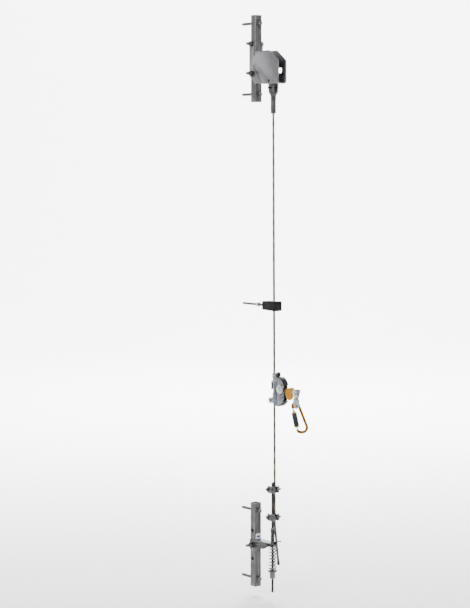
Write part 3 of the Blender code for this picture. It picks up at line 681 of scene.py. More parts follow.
def washer(name, foot, axis, inner, outer, thick):
    edge = min(0.4, thick / 4)
    profile = [(inner, 0), (outer - edge, 0), (outer, edge), (outer, thick - edge),
               (outer - edge, thick), (inner + edge, thick), (inner, thick - edge)]
    return dress(turned(name, foot, axis, profile, 48, loop=True), "root", "galvanised")


def hex_head(name, foot, axis, flats, height):
    """A hex head with chamfered corners and a shallow dished top."""
    shape, dish = hex_shape(flats, -5, height), 0.5
    profile = [(0.001, 0), (flats / 2, 0), (flats / 2, 0.4)]
    profile += [(flats / 2, height * part) for part in (0.35, 0.6, 0.75, 0.85, 0.93, 1)]
    profile += [(flats * 0.39, height), (flats * 0.34, height - dish), (0.001, height - dish)]
    return dress(turned(name, foot, axis, profile, 48, shape=shape), "root", "galvanised",
                 angle=28)


def hex_nut(name, foot, axis, flats, height, bore, look="galvanised", body="root"):
    """A hex nut chamfered on both faces, countersunk at its thread."""
    shape = hex_shape(flats, 0, height)
    steps = (0, 0.06, 0.14, 0.25, 0.5, 0.75, 0.86, 0.94, 1)
    profile = [(bore, 0.8), (bore + 0.8, 0)]
    profile += [(flats / 2, height * part) for part in steps]
    profile += [(bore + 0.8, height), (bore, height - 0.8)]
    return dress(turned(name, foot, axis, profile, 48, loop=True, shape=shape), body, look,
                 angle=28)


def threaded_end(name, foot, axis, length, radius, pitch):
    """A threaded stub with a chamfered tip."""
    depth = pitch * 0.55
    profile = [(0.001, 0)]
    profile += [(radius, up) for up in thread_heights(0, length - 1, pitch)]
    profile += [(radius - depth, length), (0.001, length)]
    shape = screw_shape(0, length - 0.5, pitch, depth)
    return dress(turned(name, foot, axis, profile, 32, shape=shape), "root", "galvanised",
                 angle=60)


def cross_bolt(node, z, outside, reach):
    """A domed bolt through a tube along +X, with a washer, nut and thread on the -X side."""
    foot = at(0, TUBE_MID, z)
    profile = [(0.001, -outside), (5.9, -outside), (5.9, outside), (10.6, outside),
               (11, outside + 0.5), (11, outside + 3.2)]
    dome = [(11 * math.cos(a), outside + 3.6 + 9.4 * math.sin(a))
            for a in (math.radians(8 * i) for i in range(1, 11))]
    profile += dome + [(0.001, outside + 13)]
    dress(turned(node + "_fine", foot, ACROSS, profile, 56), "root", "galvanised", node)
    hex_nut(node + "_nut", at(-outside - 10.4, TUBE_MID, z), ACROSS, 19, 10.3, 5.8)
    threaded_end(node + "_thread", at(-outside, TUBE_MID, z), -ACROSS, reach - outside, 5.9, 1.75)


# Top arm

def arm_outline():
    slit = 1.4
    return rounded([(0, -66, 8), (35, -97, 8), (78.5 - slit * 1.2, -100), (28.3, -29.8),
                    (30.7, -28.2), (78.5 + slit * 1.2, -100), (117.5, -100), (117.5, -91),
                    (122.5, -91), (122.5, -100), (172, -100, 10), (172, -11, 3), (118, 28, 3),
                    (34, 28, 2), (34, 11), (30, 11), (30, 68, 10), (0, 68, 10)])


def arm_plate(node, across, window, *webs):
    holes = [circle(TUBE_MID, level * CROSS_BOLT_Z, BOLT_HOLE_R) for level in (1, -1)]
    if window:
        holes.append(rounded([(126, -58, 2), (150, -60, 3), (150, -38, 3), (136, -40, 2),
                              (127, -30, 2)]))
    plate = flat(node + "_fine", RADIAL, at(across, 0, 0), 6, arm_outline(), holes)
    start = across - 6
    cut(plate, rod("slit_end", at(start, 29.5, -29), ACROSS, 12, 3, 32),
        rod("keyhole", at(start, LINE_OUT, CLEVIS_Z), ACROSS, 12, 5, 40))
    if webs:
        join(plate, *webs)
    return dress(plate, "root", "satin_steel", node, 0.5)


def top_arm():
    middle_x = TUBE_MID + GAP + 3
    arm_plate("top_plate_near", -middle_x, False)
    webs = [block("web", at(-TUBE_MID, near, -99.6), at(middle_x, far, -95))
            for near, far in ((84, 103), (137, 161))]
    arm_plate("top_plate_far", middle_x, True, *webs)
    lug = rounded([(32.6, -15), (55, -15), (132.5, -72, 8), (132.5, -100.5, 12),
                   (107.5, -100.5, 8), (104, -93), (32.6, -82)])
    bore = circle(LINE_OUT, CLEVIS_Z, 6.8)
    dress(flat("top_load_lug_fine", RADIAL, at(0, 0, 0), 12, lug, [bore]), "root", "satin_steel",
          "top_load_lug", 0.8)
    for side in (-1, 1):
        path = [at(side * 6.6, 33, up) for up in range(-80, -16, 3)]
        bead = [1.6 + 0.5 * noise.noise(point * 300) for point in path]
        dress(sweep(f"lug_weld_{'left' if side < 0 else 'right'}", path, bead, 12), "root",
              "satin_steel")
    for side, level in (("upper", 1), ("lower", -1)):
        cross_bolt("top_bolt_" + side, level * CROSS_BOLT_Z, middle_x + 3 + GAP, 49)


def fork():
    """The swaged fork: a barrel pressed in rings, flaring into two ears."""
    foot = at(0, LINE_OUT, BARREL_END_Z)
    profile = [(0.001, 0), (9.2, 0), (10, 0.6), (10.5, 2)]
    for groove in range(5):
        up = 8 + groove * 9
        profile += [(10.5, up), (10.1, up + 0.8), (10.1, up + 2.2), (10.5, up + 3)]
    profile += [(10.5, 62), (10.9, 65)]
    profile += [(10.9 + 5.6 * (1 - math.cos(math.radians(9 * i))) ** 0.9, 65 + 1.2 * i)
                for i in range(1, 11)]
    profile += [(16.5, 81.4), (0.001, 81.4)]
    body = turned("jaw_terminal_fine", foot, UP, profile, 64)
    ear = rounded([(106.5, -74.5, 13), (133.5, -74.5, 13), (131, -134), (109, -134)], 14)
    join(body, *[flat("ear", RADIAL, at(side * 11, 0, 0), 8, ear) for side in (-1, 1)])
    cut(body, rod("clevis_bore", at(-20, LINE_OUT, CLEVIS_Z), ACROSS, 40, 6.8, 40),
        rod("keeper_bore", at(-20, LINE_OUT, KEEPER_Z), ACROSS, 40, 3.4, 32))
    dress(body, "root", "galvanised", "jaw_terminal", 0.5)
    pin = [(0.001, 0), (5.6, 0), (6.35, 0.8), (6.35, 30.8), (5.6, 31.6), (0.001, 31.6)]
    dress(turned("clevis_pin_fine", at(-15.8, LINE_OUT, CLEVIS_Z), ACROSS, pin, 48), "root",
          "stainless", "clevis_pin")
    keeper = [(0.001, 0.6), (1.6, 0.6), (2, 0), (4.4, 0), (5, 0.8), (5, 9.4), (4.6, 10.2),
              (3, 10.2), (3, 36)]
    keeper += [(3, up) for up in thread_heights(36.5, 49.5, 1)] + [(2.4, 51), (0.001, 51)]
    dress(turned("keeper_bolt_fine", at(-25.5, LINE_OUT, KEEPER_Z), ACROSS, keeper, 36,
                 shape=screw_shape(36, 50, 1, 0.5)), "root", "black_steel", "keeper_bolt",
          angle=50)
    hex_nut("keeper_nut", at(15.4, LINE_OUT, KEEPER_Z), ACROSS, 11, 5.2, 3, "black_steel")


# Wire rope

ROPE_BEND_Z, TAIL_BEND_Z = -1640, -1806
ROPE_SHIFT = 10.2                                # across, from the rod to the rope beside it
TAIL_END = (31, -1986)                           # across and up
LAY = 62


def rope_across(z):
    return ROPE_SHIFT * (BARREL_END_Z - z) / (BARREL_END_Z - ROPE_BEND_Z)


def rope_points():
    """The rope's route: straight from the fork, along the rod through both clips, and its tail."""
    points = [(rope_across(z), z) for z in (BARREL_END_Z - GAP, -600, -1000, -1400)]
    points += [(rope_across(z), z) for z in range(-1560, ROPE_BEND_Z, -20)]
    points += [(ROPE_SHIFT, z) for z in range(ROPE_BEND_Z, TAIL_BEND_Z, -40)]
    across, end = TAIL_END
    slope = (across - ROPE_SHIFT) / (TAIL_BEND_Z - 6 - end)
    points += [(ROPE_SHIFT + 0.25, TAIL_BEND_Z), (ROPE_SHIFT + 0.9, TAIL_BEND_Z - 12)]
    points += [(across - slope * (z - end), z) for z in range(-1840, end, -30)]
    points.append(TAIL_END)
    return [at(x, LINE_OUT, z) for x, z in points]


def rope_at(route, z):
    for high, low in zip(route, route[1:]):
        if low.z <= z <= high.z:
            return high.lerp(low, (high.z - z) / (high.z - low.z))
    return route[-1]


def wire_rope():
    """Six strands laid round a core, each a helix about the rope's route."""
    route = rope_points()
    top, end, steps = route[0].z, route[-1].z, 430
    heights = [top + (end - top) * i / steps for i in range(steps + 1)]
    centre = [rope_at(route, z) for z in heights]
    strand_r = 1.56
    around = ROPE_R - strand_r - 0.02
    for number in range(6):
        path = []
        for i, spot in enumerate(centre):
            angle = math.tau * ((top - spot.z) / (LAY * MM) + number / 6)
            path.append(spot + Vector((math.cos(angle), math.sin(angle), 0)) * around * MM)
        piece = sweep(f"rope_strand_{number + 1}", path, strand_r, 10)
        dress(piece, "root", "wire_rope", "lifeline_cable", angle=60)
    dress(sweep("rope_core", centre[::4] + centre[-1:], 1.7, 10), "root", "rope_core", angle=60)
    along = (route[-1] - route[-2]).normalized()
    profile = [(4.85, 0.2), (5.4, 0), (5.9, 0.7)]
    for lap in range(5):
        up = 1.2 + lap * 2
        profile += [(5.9, up), (5.6, up + 0.8), (5.6, up + 1.1), (5.9, up + 1.9)]
    profile += [(5.9, 11.3), (5.4, 12), (4.85, 11.8)]
    dress(turned("cable_seizing_fine", route[-1] - along * 14 * MM, along, profile, 48, loop=True),
          "root", "rope_core", "cable_seizing")


# Cable guide

def cable_guide():
    """A rubber block with moulded ribs, split on one side for the rope."""
    low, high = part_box("guide_block")
    z = GUIDE_Z
    outline = rounded([(75, z - 17, 3), (152, z - 19, 3), (152, z + 19, 3), (75, z + 17, 3)])
    body = flat("guide_block_fine", RADIAL, at(0, 0, 0), (high.x - low.x) / MM, outline)
    middle_x = rope_across(z)
    tools = [rod("bore", at(middle_x, LINE_OUT, z - 25), UP, 50, 5.7, 40),
             block("slot", at(middle_x, LINE_OUT - 3.6, z - 25), at(25, LINE_OUT + 3.6, z + 25)),
             rod("stem_bore", at(0, 70, z), OUTWARD, 31, 5.4, 40)]
    for side in (-1, 1):
        for rib in range(3):
            up = z - 9 + rib * 9
            inner, outer = side * 17.1, side * 19
            tools.append(block("groove", at(min(inner, outer), 81, up - 1.3),
                               at(max(inner, outer), 108, up + 1.3)))
    cut(body, *tools)
    dress(body, "root", "black_rubber", "guide_block", 1.1)
    foot = at(0, 0, z)
    profile = [(0.001, -72), (1.2, -70.5), (3.4, -65)]
    profile += [(4.0, up) for up in thread_heights(-63, -14, 3)]
    profile += [(5, -12), (5, 97), (4, 99.6), (0.001, 99.6)]

    def wood_thread(radius, height, angle):
        phase = (height / 5 - angle / math.tau) % 1
        crest = max(0, 1 - abs(phase - 0.5) * 5) if -67 < height < -13 else 0
        return radius + crest
    dress(turned("guide_stem_fine", foot, OUTWARD, profile, 36, shape=wood_thread), "root",
          "galvanised", "guide_stem", angle=50)
    collar = [(5.3, -7), (7.1, -7), (7.5, -6.6)]
    collar += [(9.3 - 1.8 * (abs(up) / 7) ** 2.2, up) for up in range(-6, 7)]
    collar += [(7.5, 6.6), (7.1, 7), (5.3, 7)]
    dress(turned("guide_collar_fine", at(0, 31, z), OUTWARD, collar, 56, loop=True), "root",
          "polished", "guide_collar")
    washer("guide_washer", at(0, 72.5, z), OUTWARD, 5.3, 11, 1.8)


# Bottom bracket

def bottom_arm():
    top_z, mid_z = -1893, BOTTOM_Z
    top = rounded([(-20.3, 32.7), (20.3, 32.7), (20.3, 95, 6), (13, 116, 4), (13, 137, 3),
                   (7.9, 137), (7.9, LINE_OUT - 7.9, 7.8), (-7.9, LINE_OUT - 7.9, 7.8),
                   (-7.9, 137), (-13, 137, 3), (-13, 116, 4), (-20.3, 95, 6)])
    arm = flat("bottom_arm_fine", PLAN, at(0, 0, top_z - 2), 4, top)
    side = rounded([(2, -1934, 6), (40, -1934, 6), (108, -1902, 3), (108, top_z - 0.3),
                    (2, top_z - 0.3, 3)])
    ear = rounded([(125, -1895), (136, -1895), (136, -1884.5, 4), (125, -1884.5, 4)])
    flanges = [flat("flange", RADIAL, at(sign * 18.5, 0, 0), 4, side,
                    [circle(TUBE_MID, mid_z, BOLT_HOLE_R)]) for sign in (-1, 1)]
    ears = [flat("ear", RADIAL, at(sign * 10.5, 0, 0), 4, ear) for sign in (-1, 1)]
    join(arm, *flanges, *ears)
    cut(arm, rod("pin_bore", at(-20, 130.6, -1889.5), ACROSS, 40, 2.9, 32))
    dress(arm, "root", "galvanised", "bottom_arm", 0.6)
    pin = [(0.001, 0.4), (1.4, 0.4), (1.8, 0), (3.6, 0), (4.2, 0.6), (4.2, 3), (3.7, 3.5),
           (2.5, 3.5), (2.5, 44), (2.1, 44.6), (2.1, 46.6), (2.5, 47.2), (2.5, 50.6), (1.8, 52),
           (0.001, 52)]
    dress(turned("arm_retaining_pin_fine", at(-17, 130.6, -1889.5), ACROSS, pin, 36), "root",
          "black_steel", "arm_retaining_pin")
    cross_bolt("arm_bolt", mid_z, 20.5 + GAP, 50)
    label = rounded([(-13, -11, 1.5), (13, -11, 1.5), (13, 11, 1.5), (-13, 11, 1.5)])
    plate = flat("tube_label_fine", (ACROSS, UP, OUTWARD), at(0, 32.6, -1881), 0.6, label)
    dress(plate, "root", "label_white", "tube_label", 0.12)


# Tensioner

def tensioner():
    """The rod with its thread, stop collar, guide tube, spring, washer and nut."""
    low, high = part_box("tension_rod")
    length = (high.z - low.z) / MM
    profile = [(0.001, 0), (4, 0), (4.9, 0.9)]
    profile += [(ROD_R, up) for up in thread_heights(1.2, 104, 1.5)]
    profile += [(ROD_R, 106), (ROD_R, length - 1), (ROD_R - 1, length), (0.001, length)]
    dress(turned("tension_rod_fine", at(0, LINE_OUT, low.z / MM), UP, profile, 36,
                 shape=screw_shape(1, 104.5, 1.5, 0.75)), "root", "rod_steel", "tension_rod",
          angle=60)
    ring("rod_stop_collar", "root", "galvanised", 0.8)
    tube_low, tube_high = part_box("guide_tube")
    top = (tube_high.z - tube_low.z) / MM
    profile = [(5.5, 0), (13.4, 0), (14, 0.6), (14, 3.4), (13.4, 4), (8, 4), (7.4, 4.6),
               (7.4, top - 0.6), (6.8, top), (5.5, top)]
    dress(turned("guide_tube_fine", at(0, LINE_OUT, tube_low.z / MM), UP, profile, 56, loop=True),
          "root", "rod_steel", "guide_tube")
    coil = dress(spring(), "root", "spring_steel", "tension_spring", angle=60)
    low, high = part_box("tension_spring")
    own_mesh(coil)
    ring("tension_washer", "tension_washer", "galvanised", 0.5)
    nut_low, nut_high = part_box("tension_nut")
    item = hex_nut("tension_nut_fine", at(0, LINE_OUT, nut_low.z / MM), UP, 20,
                   (nut_high.z - nut_low.z) / MM, ROD_R + 0.4, "satin_steel", "tension_nut")
    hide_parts("tension_nut")
    for side in ("upper", "lower"):
        rope_clip(side)


def ring(node, body, look, edge):
    """A washer or collar on the tension rod, from its node's box."""
    low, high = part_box(node)
    outer, thick = (high.x - low.x) / 2 / MM, (high.z - low.z) / MM
    corner = edge * 0.3
    profile = [(ROD_R + 0.35, 0.2), (ROD_R + 0.6, 0), (outer - edge, 0), (outer - corner, corner),
               (outer, edge), (outer, thick - edge), (outer - corner, thick - corner),
               (outer - edge, thick), (ROD_R + 0.6, thick), (ROD_R + 0.35, thick - 0.2)]
    dress(turned(node + "_fine", at(0, LINE_OUT, low.z / MM), UP, profile, 56, loop=True), body,
          look, node)


def spring():
    """A compression spring with closed end turns."""
    low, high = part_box("tension_spring")
    wire_r, coil_r, turns = 2.5, 12.5, 8.5
    top, end = high.z / MM - wire_r, low.z / MM + wire_r
    closed = 2 * wire_r + 2 * GAP
    drop, steps = top - end, int(turns * 40)
    path = []
    for step in range(steps + 1):
        done = turns * step / steps
        if done < 1:
            fall = closed * done
        elif done > turns - 1:
            fall = drop - closed * (turns - done)
        else:
            fall = closed + (drop - 2 * closed) / (turns - 2) * (done - 1)
        angle = math.tau * done
        path.append(at(coil_r * math.cos(angle), LINE_OUT + coil_r * math.sin(angle), top - fall))
    return sweep("tension_spring_fine", path, wire_r - 0.02, 16)


def rope_clip(side):
    """A wire rope clip: a threaded U-bolt, its nuts, a forged saddle and a bridge over the rope."""
    z = middle(f"clip_{side}_saddle")[2]
    legs, bend = 12, 24
    path = [at(across, LINE_OUT - legs, z) for across in range(-10, bend, 4)]
    path += [at(bend + legs * p.x, LINE_OUT + legs * p.y, z) for p in arc(0, 0, 1, -90, 90, 24)]
    path += [at(across, LINE_OUT + legs, z) for across in range(bend - 2, -11, -4)]
    bow = sweep(f"clip_{side}_ubolt_fine", path, 3.5, 24)
    dress(bow, "root", "galvanised", f"clip_{side}_ubolt", angle=60)
    for sign in (-1, 1):
        foot = at(-10, LINE_OUT + sign * legs, z)
        place = "inner" if sign < 0 else "outer"
        threaded_end(f"clip_{side}_thread_{place}", foot, -ACROSS, 15, 3.5, 1.25)
        hex_nut(f"clip_{side}_nut_{place}", at(-20.7, LINE_OUT + sign * legs, z), ACROSS, 13, 6.4,
                3.4)
    base = rounded([(-14, 101, 4), (-2, 101, 4), (-2, 139, 4), (-14, 139, 4)])
    nose = rounded([(11, 103, 3), (19, 103, 3), (24, 112, 3), (32, 114, 6), (32, 126, 6),
                    (24, 128, 3), (19, 137, 3), (11, 137, 3)])
    for part, outline, tall, across, bore in (("saddle", base, 26, 0, ROD_R + GAP),
                                              ("bridge", nose, 24, ROPE_SHIFT, ROPE_R + GAP)):
        item = flat(f"clip_{side}_{part}_fine", PLAN, at(0, 0, z), tall, outline)
        tools = [rod("groove", at(across, LINE_OUT, z - 20), UP, 40, bore, 40)]
        tools += [rod("leg_hole", at(-20, LINE_OUT + sign * legs, z), ACROSS, 46, 3.9, 32)
                  for sign in (-1, 1)]
        if part == "saddle":
            tools.append(block("relief", at(-15, LINE_OUT - 4, z - 6),
                               at(-11.5, LINE_OUT + 4, z + 6)))
        cut(item, *tools)
        dress(item, "root", "galvanised", f"clip_{side}_{part}", 1.0)


# Sleeve

SIDE_MID, SIDE_THICK = 9.5, 3


def plate_outline(rear_lobe):
    rear = [(5, 38), (5, -63, 2)]
    if rear_lobe:
        rear = [(5, 38), (5, -30), (-26, -41, 8), (-26, -60, 8), (5, -63)]
    return rounded(rear + [(68, -63, 34), (68, 44, 38), (22, 44), (22, 63.5, 10.5),
                           (0, 63.5, 10.5), (0, 41)], 14)


def curved_slot(u, v, radius, start, end, half):
    """An arc-shaped slot with round ends."""
    outer = arc(u, v, radius + half, start, end, 16)
    inner = arc(u, v, radius - half, end, start, 16)
    return outer + inner


def side_plates():
    arm_hole, cam_hole = circle(*ARM_PIVOT, 5.4), circle(*CAM_PIVOT, 4.4)
    x, y = ARM_PIVOT
    slots = [curved_slot(x, y, 21.3, -18, -84, 1.9), curved_slot(x, y - 51, 24.9, 76, 48, 2.3)]
    near = flat("sleeve_plate_near_fine", RADIAL, on_sleeve(-SIDE_MID, 0, 0), SIDE_THICK,
                plate_outline(False), [arm_hole, cam_hole, circle(*TOP_ROLLER, 3.4), *slots])
    dress(near, "sleeve", "stainless", "sleeve_plate_near", 0.5)
    far = flat("sleeve_plate_far_fine", RADIAL, on_sleeve(SIDE_MID, 0, 0), SIDE_THICK,
               plate_outline(True), [arm_hole, cam_hole, slots[0]])
    across, out = GATE_HINGE
    extras = []
    for up in (31.5, -9.5):
        lug = rounded([(11.4, -2), (across + 3.4, -2, 3), (across + 3.4, 5, 3), (12, 14),
                       (10.2, 14), (10.2, 5.6), (11.4, 5.6)])
        extras.append(flat("lug", PLAN, on_sleeve(0, 0, up), 7, lug, [circle(across, out, 1.9)]))
    extras.append(rod("axle", on_sleeve(-SIDE_MID - 1.5, *TOP_ROLLER), ACROSS, 21, 3))
    extras.append(rod("axle", on_sleeve(-8.8, *LOWER_ROLLER), ACROSS, 19, 3))
    extras.append(rod("axle_head", on_sleeve(-9, *LOWER_ROLLER), ACROSS, 2, 5.5))
    dress(join(far, *extras), "sleeve", "stainless", "sleeve_plate_far", 0.4)
    strip = rounded([(8.4, -62, 2), (27.4, -62, 2), (27.4, 28, 6), (8.4, 28, 6)])
    strip = flat("sleeve_wear_strip_fine", RADIAL, on_sleeve(-11.9, 0, 0), 1.2, strip)
    rivets = [rod("rivet_hole", on_sleeve(-15, 18, up), ACROSS, 6, 2.2, 32) for up in (-54, 20)]
    cut(strip, rod("relief", on_sleeve(-15, *CAM_PIVOT), ACROSS, 6, 4.4), *rivets)
    dress(strip, "sleeve", "blued_steel", "sleeve_wear_strip", 0.3)
    # Painted shade: thin black sheets on the cheeks' inner faces, and black arcs beside the arm,
    # stand for the shade inside the sleeve.
    shade_sheet_outline = rounded([(41, 14, 4), (66, 14, 4), (66, -20, 8), (58, -44, 8), (41, -52, 4)])
    lip = arc(30, 6, 34, 22, -48, 36) + arc(30, 6, 30.5, -48, 22, 36)
    for side, place in ((-1, "near"), (1, "far")):
        dark = flat(f"slot_liner_{place}", RADIAL, on_sleeve(side * 7.55, 0, 0), 0.7, shade_sheet_outline,
                    [circle(x, y, 5.6)])
        dress(dark, "sleeve", "black_plastic", (), 0.1)
        dress(flat(f"arm_lip_{place}", RADIAL, on_sleeve(side * 5.2, 0, 0), 3.4, lip), "sleeve",
              "black_plastic", (), 0.5)
    for place, up in (("lower", -54), ("upper", 20)):
        rivet(f"strip_rivet_{place}", on_sleeve(-11.2, 18, up), 2.0)
    rivet("lower_axle_rivet", on_sleeve(-9, *LOWER_ROLLER), 3.2)
    rivet("upper_axle_rivet", on_sleeve(-11, *TOP_ROLLER), 3.6)


def rivet(name, foot, radius, axis=-ACROSS, body="sleeve", look="polished", tall=0.45):
    """A low round rivet head with a dimple."""
    profile = [(0.001, 0), (radius, 0)]
    profile += [(radius * math.cos(a), radius * tall * math.sin(a))
                for a in (math.radians(15 * i) for i in range(1, 5))]
    profile += [(radius * 0.36, radius * tall * 0.98), (radius * 0.2, radius * tall * 0.7),
                (0.001, radius * tall * 0.62)]
    return dress(turned(name, foot, axis, profile, 40), body, look)


def shoes_and_covers():
    reach_x = SIDE_MID - SIDE_THICK / 2 - GAP
    for node, low, high, reach in (("upper_cable_shoe", 20, 41, 38),
                                   ("lower_cable_shoe", -60, -18, 20)):
        outline = rounded([(-2, low, 1), (reach, low, 3), (reach, high, 3), (-2, high, 1)])
        shoe = flat(node + "_fine", RADIAL, on_sleeve(0, 0, 0), 2 * reach_x, outline)
        tools = [rod("groove", on_sleeve(0, 0, low - 5), UP, high - low + 10, 5.9)]
        if node.startswith("upper"):
            tools.append(rod("knob_bore", on_sleeve(*KNOB, low + 2), UP, 30, 3.3, 32))
        dress(cut(shoe, *tools), "sleeve", "blued_steel", node, 0.5)
    width = 2 * (SIDE_MID + SIDE_THICK / 2 + 0.5)
    upper = arc(30, 6, 43.5, 14, 75, 36) + arc(30, 6, 38.4, 75, 14, 36)
    lower = arc(34, -29, 39, -24, -90, 36) + [Vector((12, -68)), Vector((12, -63.4))]
    lower += arc(34, -29, 34.4, -90, -24, 36)
    # Painted shade: the covers are black to stand for the shade between the cheeks.
    for node, outline in (("cover_upper", upper), ("cover_lower", lower)):
        cover = flat(node + "_fine", RADIAL, on_sleeve(0, 0, 0), width, outline)
        dress(cover, "sleeve", "black_plastic", node, 1.2)
    band_parts = (("upper", arc(30, 6, 43.3, 18, 71, 36), arc(30, 6, 42.6, 71, 18, 36)),
                  ("lower", arc(34, -29, 38.8, -28, -86, 36), arc(34, -29, 38.1, -86, -28, 36)))
    for place, outer, inner in band_parts:
        band = flat(f"cover_band_{place}", RADIAL, on_sleeve(0, 0, 0), 3.5, outer + inner)
        dress(band, "sleeve", "satin_steel", (), 0.2)


def rollers():
    profile = [(3.3, 0.3), (3.6, 0), (7.9, 0), (8.3, 0.4), (8.3, 2)]
    profile += [(8.3 - 1.3 * math.sin(math.radians(90 * i / 6)), 2 + 1.5 * i / 6)
                for i in range(1, 7)]
    upper = [(radius, 14.4 - height) for radius, height in reversed(profile)]
    dress(turned("top_roller_fine", on_sleeve(-7.2, *TOP_ROLLER), ACROSS, profile + upper, 56,
                 loop=True), "top_roller", "polished", "top_roller")
    profile = [(3.3, 0.4), (3.7, 0), (6.2, 0), (6.5, 0.5), (9.4, 0.5), (9.7, 0), (11.5, 0),
               (12.2, 0.3), (12.5, 1), (12.5, 5.2), (12.2, 5.7), (12.2, 7.3), (12.5, 7.8)]
    profile += [(12.5, 12), (12.2, 12.7), (11.5, 13), (9.7, 13), (9.4, 12.5), (6.5, 12.5),
                (6.2, 13), (3.7, 13), (3.3, 12.6)]
    dress(turned("lower_roller_fine", on_sleeve(-6.5, *LOWER_ROLLER), ACROSS, profile, 64,
                 loop=True), "lower_roller", "polished", "lower_roller")


def cable_gate():
    across, out = GATE_HINGE
    outline = arc(across, out, 3.1, 0, 180, 20)
    outline += [Vector(p) for p in ((across - 3.1, -2), (13, -5), (13, -8.5), (-7, -8.5),
                                    (-7, -11.5), (16, -11.5), (16, -5), (across + 3.1, -2))]
    gate = flat("cable_gate_fine", PLAN, on_sleeve(0, 0, 11), 33, outline,
                [circle(across, out, 1.9)])
    ribs = [block("rib_gap", on_sleeve(-6, -11, up - 1.6), on_sleeve(12, -12.2, up + 1.6))
            for up in (2, 11, 20)]
    dress(cut(gate, *ribs), "cable_gate", "black_steel", "cable_gate", 0.5)
    pin = [(0.001, 0), (1.2, 0), (1.6, 0.4), (1.6, 47.6), (1.2, 48), (0.001, 48)]
    dress(turned("gate_hinge_pin_fine", on_sleeve(across, out, -13), UP, pin, 28), "sleeve",
          "polished", "gate_hinge_pin")

    def knurl(radius, height, angle):
        if not 23.6 < height < 27.5:
            return radius
        return radius - 0.35 * (0.5 + 0.5 * math.cos(angle * 20))
    knob = [(0.001, 0), (2.6, 0), (3, 0.4), (3, 22.3), (6.6, 22.3), (7.2, 22.5), (8, 23.6)]
    knob += [(8, 23.7 + 0.46 * i) for i in range(8)] + [(8, 27.4), (7, 29), (7, 33), (7.6, 34),
                                                         (8, 35), (7.8, 36.4), (7, 37.7), (5, 38),
                                                         (4.4, 37.5), (0.001, 37.5)]
    dress(turned("gate_knob_fine", on_sleeve(*KNOB, 26), UP, knob, 80, shape=knurl), "gate_knob",
          "black_plastic", "gate_knob")


def cam_and_arm():
    """The toothed cam, the load arm, and the axle with its broad round cap."""
    x, y = CAM_PIVOT
    lobe = []
    for step in range(49):
        angle = 210 - 60 * step / 48
        tooth = 0.55 * abs(step % 4 - 2) / 2
        lobe += arc(x, y, 20.3 + 0.036 * (angle - 180) + tooth, angle, angle, 1)[:1]
    outline = arc(x, y, 8, -120, 120, 30) + lobe[::-1]
    cam = flat("locking_cam_fine", RADIAL, on_sleeve(0, 0, 0), 9, outline, [circle(x, y, 4.35)])
    dress(cam, "locking_cam", "black_steel", "locking_cam", 0.25)
    pin = [(0.001, 0.3), (1.2, 0.3), (1.6, 0), (3.4, 0), (4, 0.6), (4, 21.4), (3.4, 22),
           (1.6, 22), (1.2, 21.7), (0.001, 21.7)]
    dress(turned("cam_axle_fine", on_sleeve(-11, x, y), ACROSS, pin, 40), "sleeve", "polished",
          "cam_axle")
    x, y = ARM_PIVOT
    end_x, end_y = LINK_BOLT
    outline = arc(x, y, 11, 40, 320, 40) + arc(end_x, end_y, 10, -140, 140, 40)
    arm = flat("load_arm_fine", RADIAL, on_sleeve(0, 0, 0), 5, outline,
               [circle(x, y, 5.4), circle(end_x, end_y, 5.4)])
    dress(arm, "load_arm", "satin_steel", "load_arm", 0.5)
    profile = [(0.001, 0.4), (2, 0.4), (2.4, 0), (4.4, 0), (5, 0.6), (5, 23.1), (18.3, 23.1),
               (18.7, 23.5), (18.7, 24.4), (18.3, 25), (17.2, 25.7), (14, 26.4), (10, 26.8),
               (9.6, 26.5), (9.1, 26.5), (8.7, 26.9), (5.4, 27.1), (5.2, 26.5), (4.6, 26.4),
               (4.4, 27.1), (3.6, 27.4), (2.2, 27.4), (1.9, 26.6), (0.001, 26.6)]
    dress(turned("arm_axle_fine", on_sleeve(11.8, x, y), -ACROSS, profile, 72), "sleeve",
          "polished", "arm_axle", angle=30)


def gold_link():
    """The anodised tear-away link, waisted, milled through for the arm."""
    outline = rounded([(67, -8, 2), (71.4, 2.6, 2), (96.5, 10.3, 3), (110, 11, 4), (116.6, -6, 3),
                       (116.6, -14, 3), (103.3, -33, 3), (93.2, -40, 4), (81.5, -33, 3)])
    link = flat("gold_link_fine", RADIAL, on_sleeve(0, 0, 0), 13, outline)
    tools = [block("slot", on_sleeve(-2.9, 60, -10.4), on_sleeve(2.9, 125, 6.4))]
    pocket = rounded([(86, -6, 2), (104, -1, 2), (107, -12, 2), (97, -26, 2), (90, -24, 2)])
    for side in (-1, 1):
        tools.append(flat("pocket", RADIAL, on_sleeve(side * 6.6, 0, 0), 1.0, pocket))
    dress(cut(link, *tools), "load_arm", "gold_anodised", "gold_link", 0.7)
    profile = [(0.001, 0.9), (3.2, 0.9), (3.5, 0.5), (3.8, 0), (9.5, 0), (10.4, 0.4), (10.8, 1.2),
               (10.8, 3.6), (10.4, 4), (5, 4), (5, 18)]
    profile += [(5, up) for up in thread_heights(18.5, 26, 1.25)] + [(4.2, 27), (0.001, 27)]
    item = turned("link_bolt_fine", on_sleeve(-12.4, *LINK_BOLT), ACROSS, profile, 56,
                  shape=screw_shape(18, 26.5, 1.25, 0.6))
    dress(item, "load_arm", "polished", "link_bolt", angle=45)
    hex_nut("link_nut", on_sleeve(8.4, *LINK_BOLT), ACROSS, 17, 6.4, 5, "polished", "load_arm")


# Swivel and carabiner

GATE_TOP, GATE_END = -12, -90                    # the bar's ends, up from the captive pin


